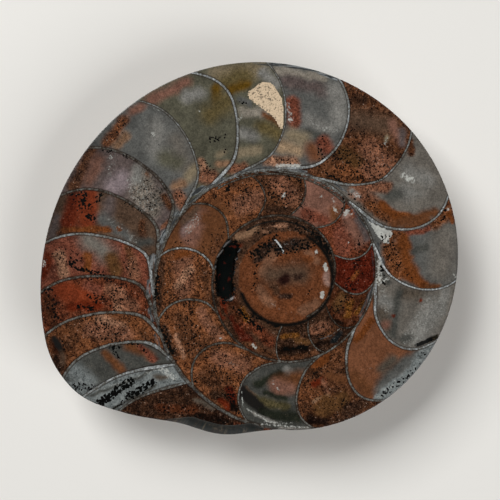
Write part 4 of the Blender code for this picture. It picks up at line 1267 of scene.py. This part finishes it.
def cavityCrustAndShade():
    # black manganese crust with rusty flecks, which lines the open cavity and takes no polish; its
    # near-black is partly painted shade in the hollow
    material, tree, shader = newMaterial("cavityCrustAndShade")
    place = placeInMm(tree)
    fleck = addNode(tree, "TexNoise", None, Vector=place, Scale=1 / crustAndShade["fleck"], Detail=4, Roughness=0.6)
    share = addNode(tree, "MapRange", None, Value=fleck.outputs["Fac"], From_Min=0.58, From_Max=0.68)
    base = mixColours(tree, share.outputs["Result"], opaque(crustAndShade["black"]), opaque(crustAndShade["rust"]))
    relief = crustAndShade["relief"] * mm
    bump = addNode(tree, "Bump", None, Strength=0.7, Distance=relief, Height=fleck.outputs["Fac"])
    values = {"Roughness": crustAndShade["roughness"], "Specular IOR Level": crustAndShade["specular"]}
    setShader(tree, shader, base, bump, values)
    return material


flank = {
    "shell": "#5f4a38",
    "pale": "#84745f",
    "dark": "#2c2018",
    "rust": "#63391f",
    "ledge": "#141a18",
    # sizes in mm
    "weathering": 6.0,
    "scuffs": 1.6,
    "growthLines": (0.7, 12.0),  # from one line to the next, and how far each runs across the whorl
    "relief": 0.12,
    "roughness": 0.6,
    "ior": 1.53,
}


def naturalFlank(name, main, second):
    # fossil shell, never polished: dull brown, stained by iron in broad clouds, scuffed pale on the high
    # parts, with fine growth lines across each whorl
    material, tree, shader = newMaterial(name)
    place = placeInMm(tree)
    apart, run = flank["growthLines"]
    drawn = drawnOut(tree, (1 / apart, 1 / run, 1.0))
    broad = addNode(
        tree, "TexNoise", None, Vector=place, Scale=1 / flank["weathering"], Detail=5, Distortion=0.5,
    )
    small = addNode(tree, "TexNoise", None, Vector=place, Scale=1 / flank["scuffs"], Detail=5, Roughness=0.7)
    grown = addNode(tree, "TexNoise", None, Vector=drawn, Scale=1.0, Detail=3, Roughness=0.55)

    # each layer's colour, its noise, the noise's values where it sets in and is full, and its most
    layers = (
        (second, broad, 0.42, 0.6, 1.0),
        ("pale", small, 0.52, 0.72, 0.55),
        ("dark", small, 0.45, 0.3, 0.7),
        ("dark", grown, 0.5, 0.34, 0.45),
        ("pale", grown, 0.56, 0.7, 0.3),
    )
    base = opaque(flank[main])
    for layer, source, low, high, most in layers:
        amount = smoothRamp(tree, source.outputs["Fac"], low, high, 0.0, most)
        base = mixColours(tree, amount, base, opaque(flank[layer]))
    height = addNode(tree, "Math", {"operation": "ADD"}, _0=small.outputs["Fac"], _1=grown.outputs["Fac"])
    bump = addNode(tree, "Bump", None, Strength=0.8, Distance=flank["relief"] * mm, Height=height.outputs[0])
    setShader(tree, shader, base, bump, {"Roughness": flank["roughness"], "IOR": flank["ior"]})
    return material


def addObject(name, data):
    obj = bpy.data.objects.new(name, data)
    bpy.context.scene.collection.objects.link(obj)
    return obj


bm = makeHalf()
mesh = bpy.data.meshes.new("ammoniteHalf")
bm.to_mesh(mesh)
bm.free()
paintMarkings(mesh)
mesh.shade_smooth()
mesh.set_sharp_from_angle(angle=math.radians(half["sharpAngle"]))
ammonite = addObject("ammoniteHalf", mesh)
mesh.materials.append(polishedSection())
mesh.materials.append(naturalFlank("matrixLedge", "ledge", "dark"))
mesh.materials.append(naturalFlank("naturalFlank", "shell", "rust"))
mesh.materials.append(cavityCrustAndShade())
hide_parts("ammonite_half")
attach(ammonite, "root")
print("materials: %d" % len(mesh.materials))


studio = {
    "floor": "#e8e6e1",
    "floorSize": 4.0,
    "floorRoughness": 0.9,
    "horizon": 0.85,
    "zenith": 0.04,
    "dimming": (0.1, 0.6),  # height in the world where the light starts to dim, and where it is dimmest
    "cameraLens": 100,
    "cameraView": 0.0957,  # width of the view at the section, m
    "cameraAside": (0.00015, -0.00023),  # from the middle of the half, m
    "cameraNear": 0.01,
    "lamps": (
        # place as azimuth, elevation and distance in m, then size in m and power in W
        ("key", 130, 48, 0.9, 0.5, 7.6),
        ("fill", -40, 42, 0.9, 0.6, 4.6),
    ),
}


def makeFloor():
    bpy.ops.mesh.primitive_plane_add(size=studio["floorSize"], location=(0, 0, 0))
    floor = bpy.context.object
    floor.name = "floor"
    material, _, shader = newMaterial("palePaper")
    shader.inputs["Base Color"].default_value = opaque(studio["floor"])
    shader.inputs["Roughness"].default_value = studio["floorRoughness"]
    floor.data.materials.append(material)


def makeWorld():
    # a studio that is pale at eye level and dim overhead, so that the polish mirrors no bright ceiling
    world = bpy.data.worlds.new("studio")
    bpy.context.scene.world = world
    world.use_nodes = True
    tree = world.node_tree
    direction = addNode(tree, "TexCoord").outputs["Generated"]
    up = addNode(tree, "SeparateXYZ", None, Vector=direction).outputs["Z"]
    level = smoothRamp(tree, up, *studio["dimming"], studio["horizon"], studio["zenith"])
    tree.links.new(level, tree.nodes["Background"].inputs["Strength"])


def makeLamps():
    for name, azimuth, elevation, distance, size, power in studio["lamps"]:
        lamp = bpy.data.lights.new(name, "AREA")
        lamp.size = size
        lamp.energy = power
        obj = addObject(name, lamp)
        turn, lift = math.radians(azimuth), math.radians(elevation)
        toLamp = Vector((math.cos(turn) * math.cos(lift), math.sin(turn) * math.cos(lift), math.sin(lift)))
        obj.location = toLamp * distance
        obj.rotation_euler = toLamp.to_track_quat("Z", "Y").to_euler()


def makeCamera():
    camera = bpy.data.cameras.new("camera")
    camera.lens = studio["cameraLens"]
    camera.clip_start = studio["cameraNear"]
    obj = addObject("camera", camera)
    height = studio["cameraView"] * camera.lens / camera.sensor_width
    obj.location = (*studio["cameraAside"], faceHeight + height)
    bpy.context.scene.camera = obj


makeFloor()
makeWorld()
makeLamps()
makeCamera()
bpy.context.scene.view_settings.view_transform = "Standard"
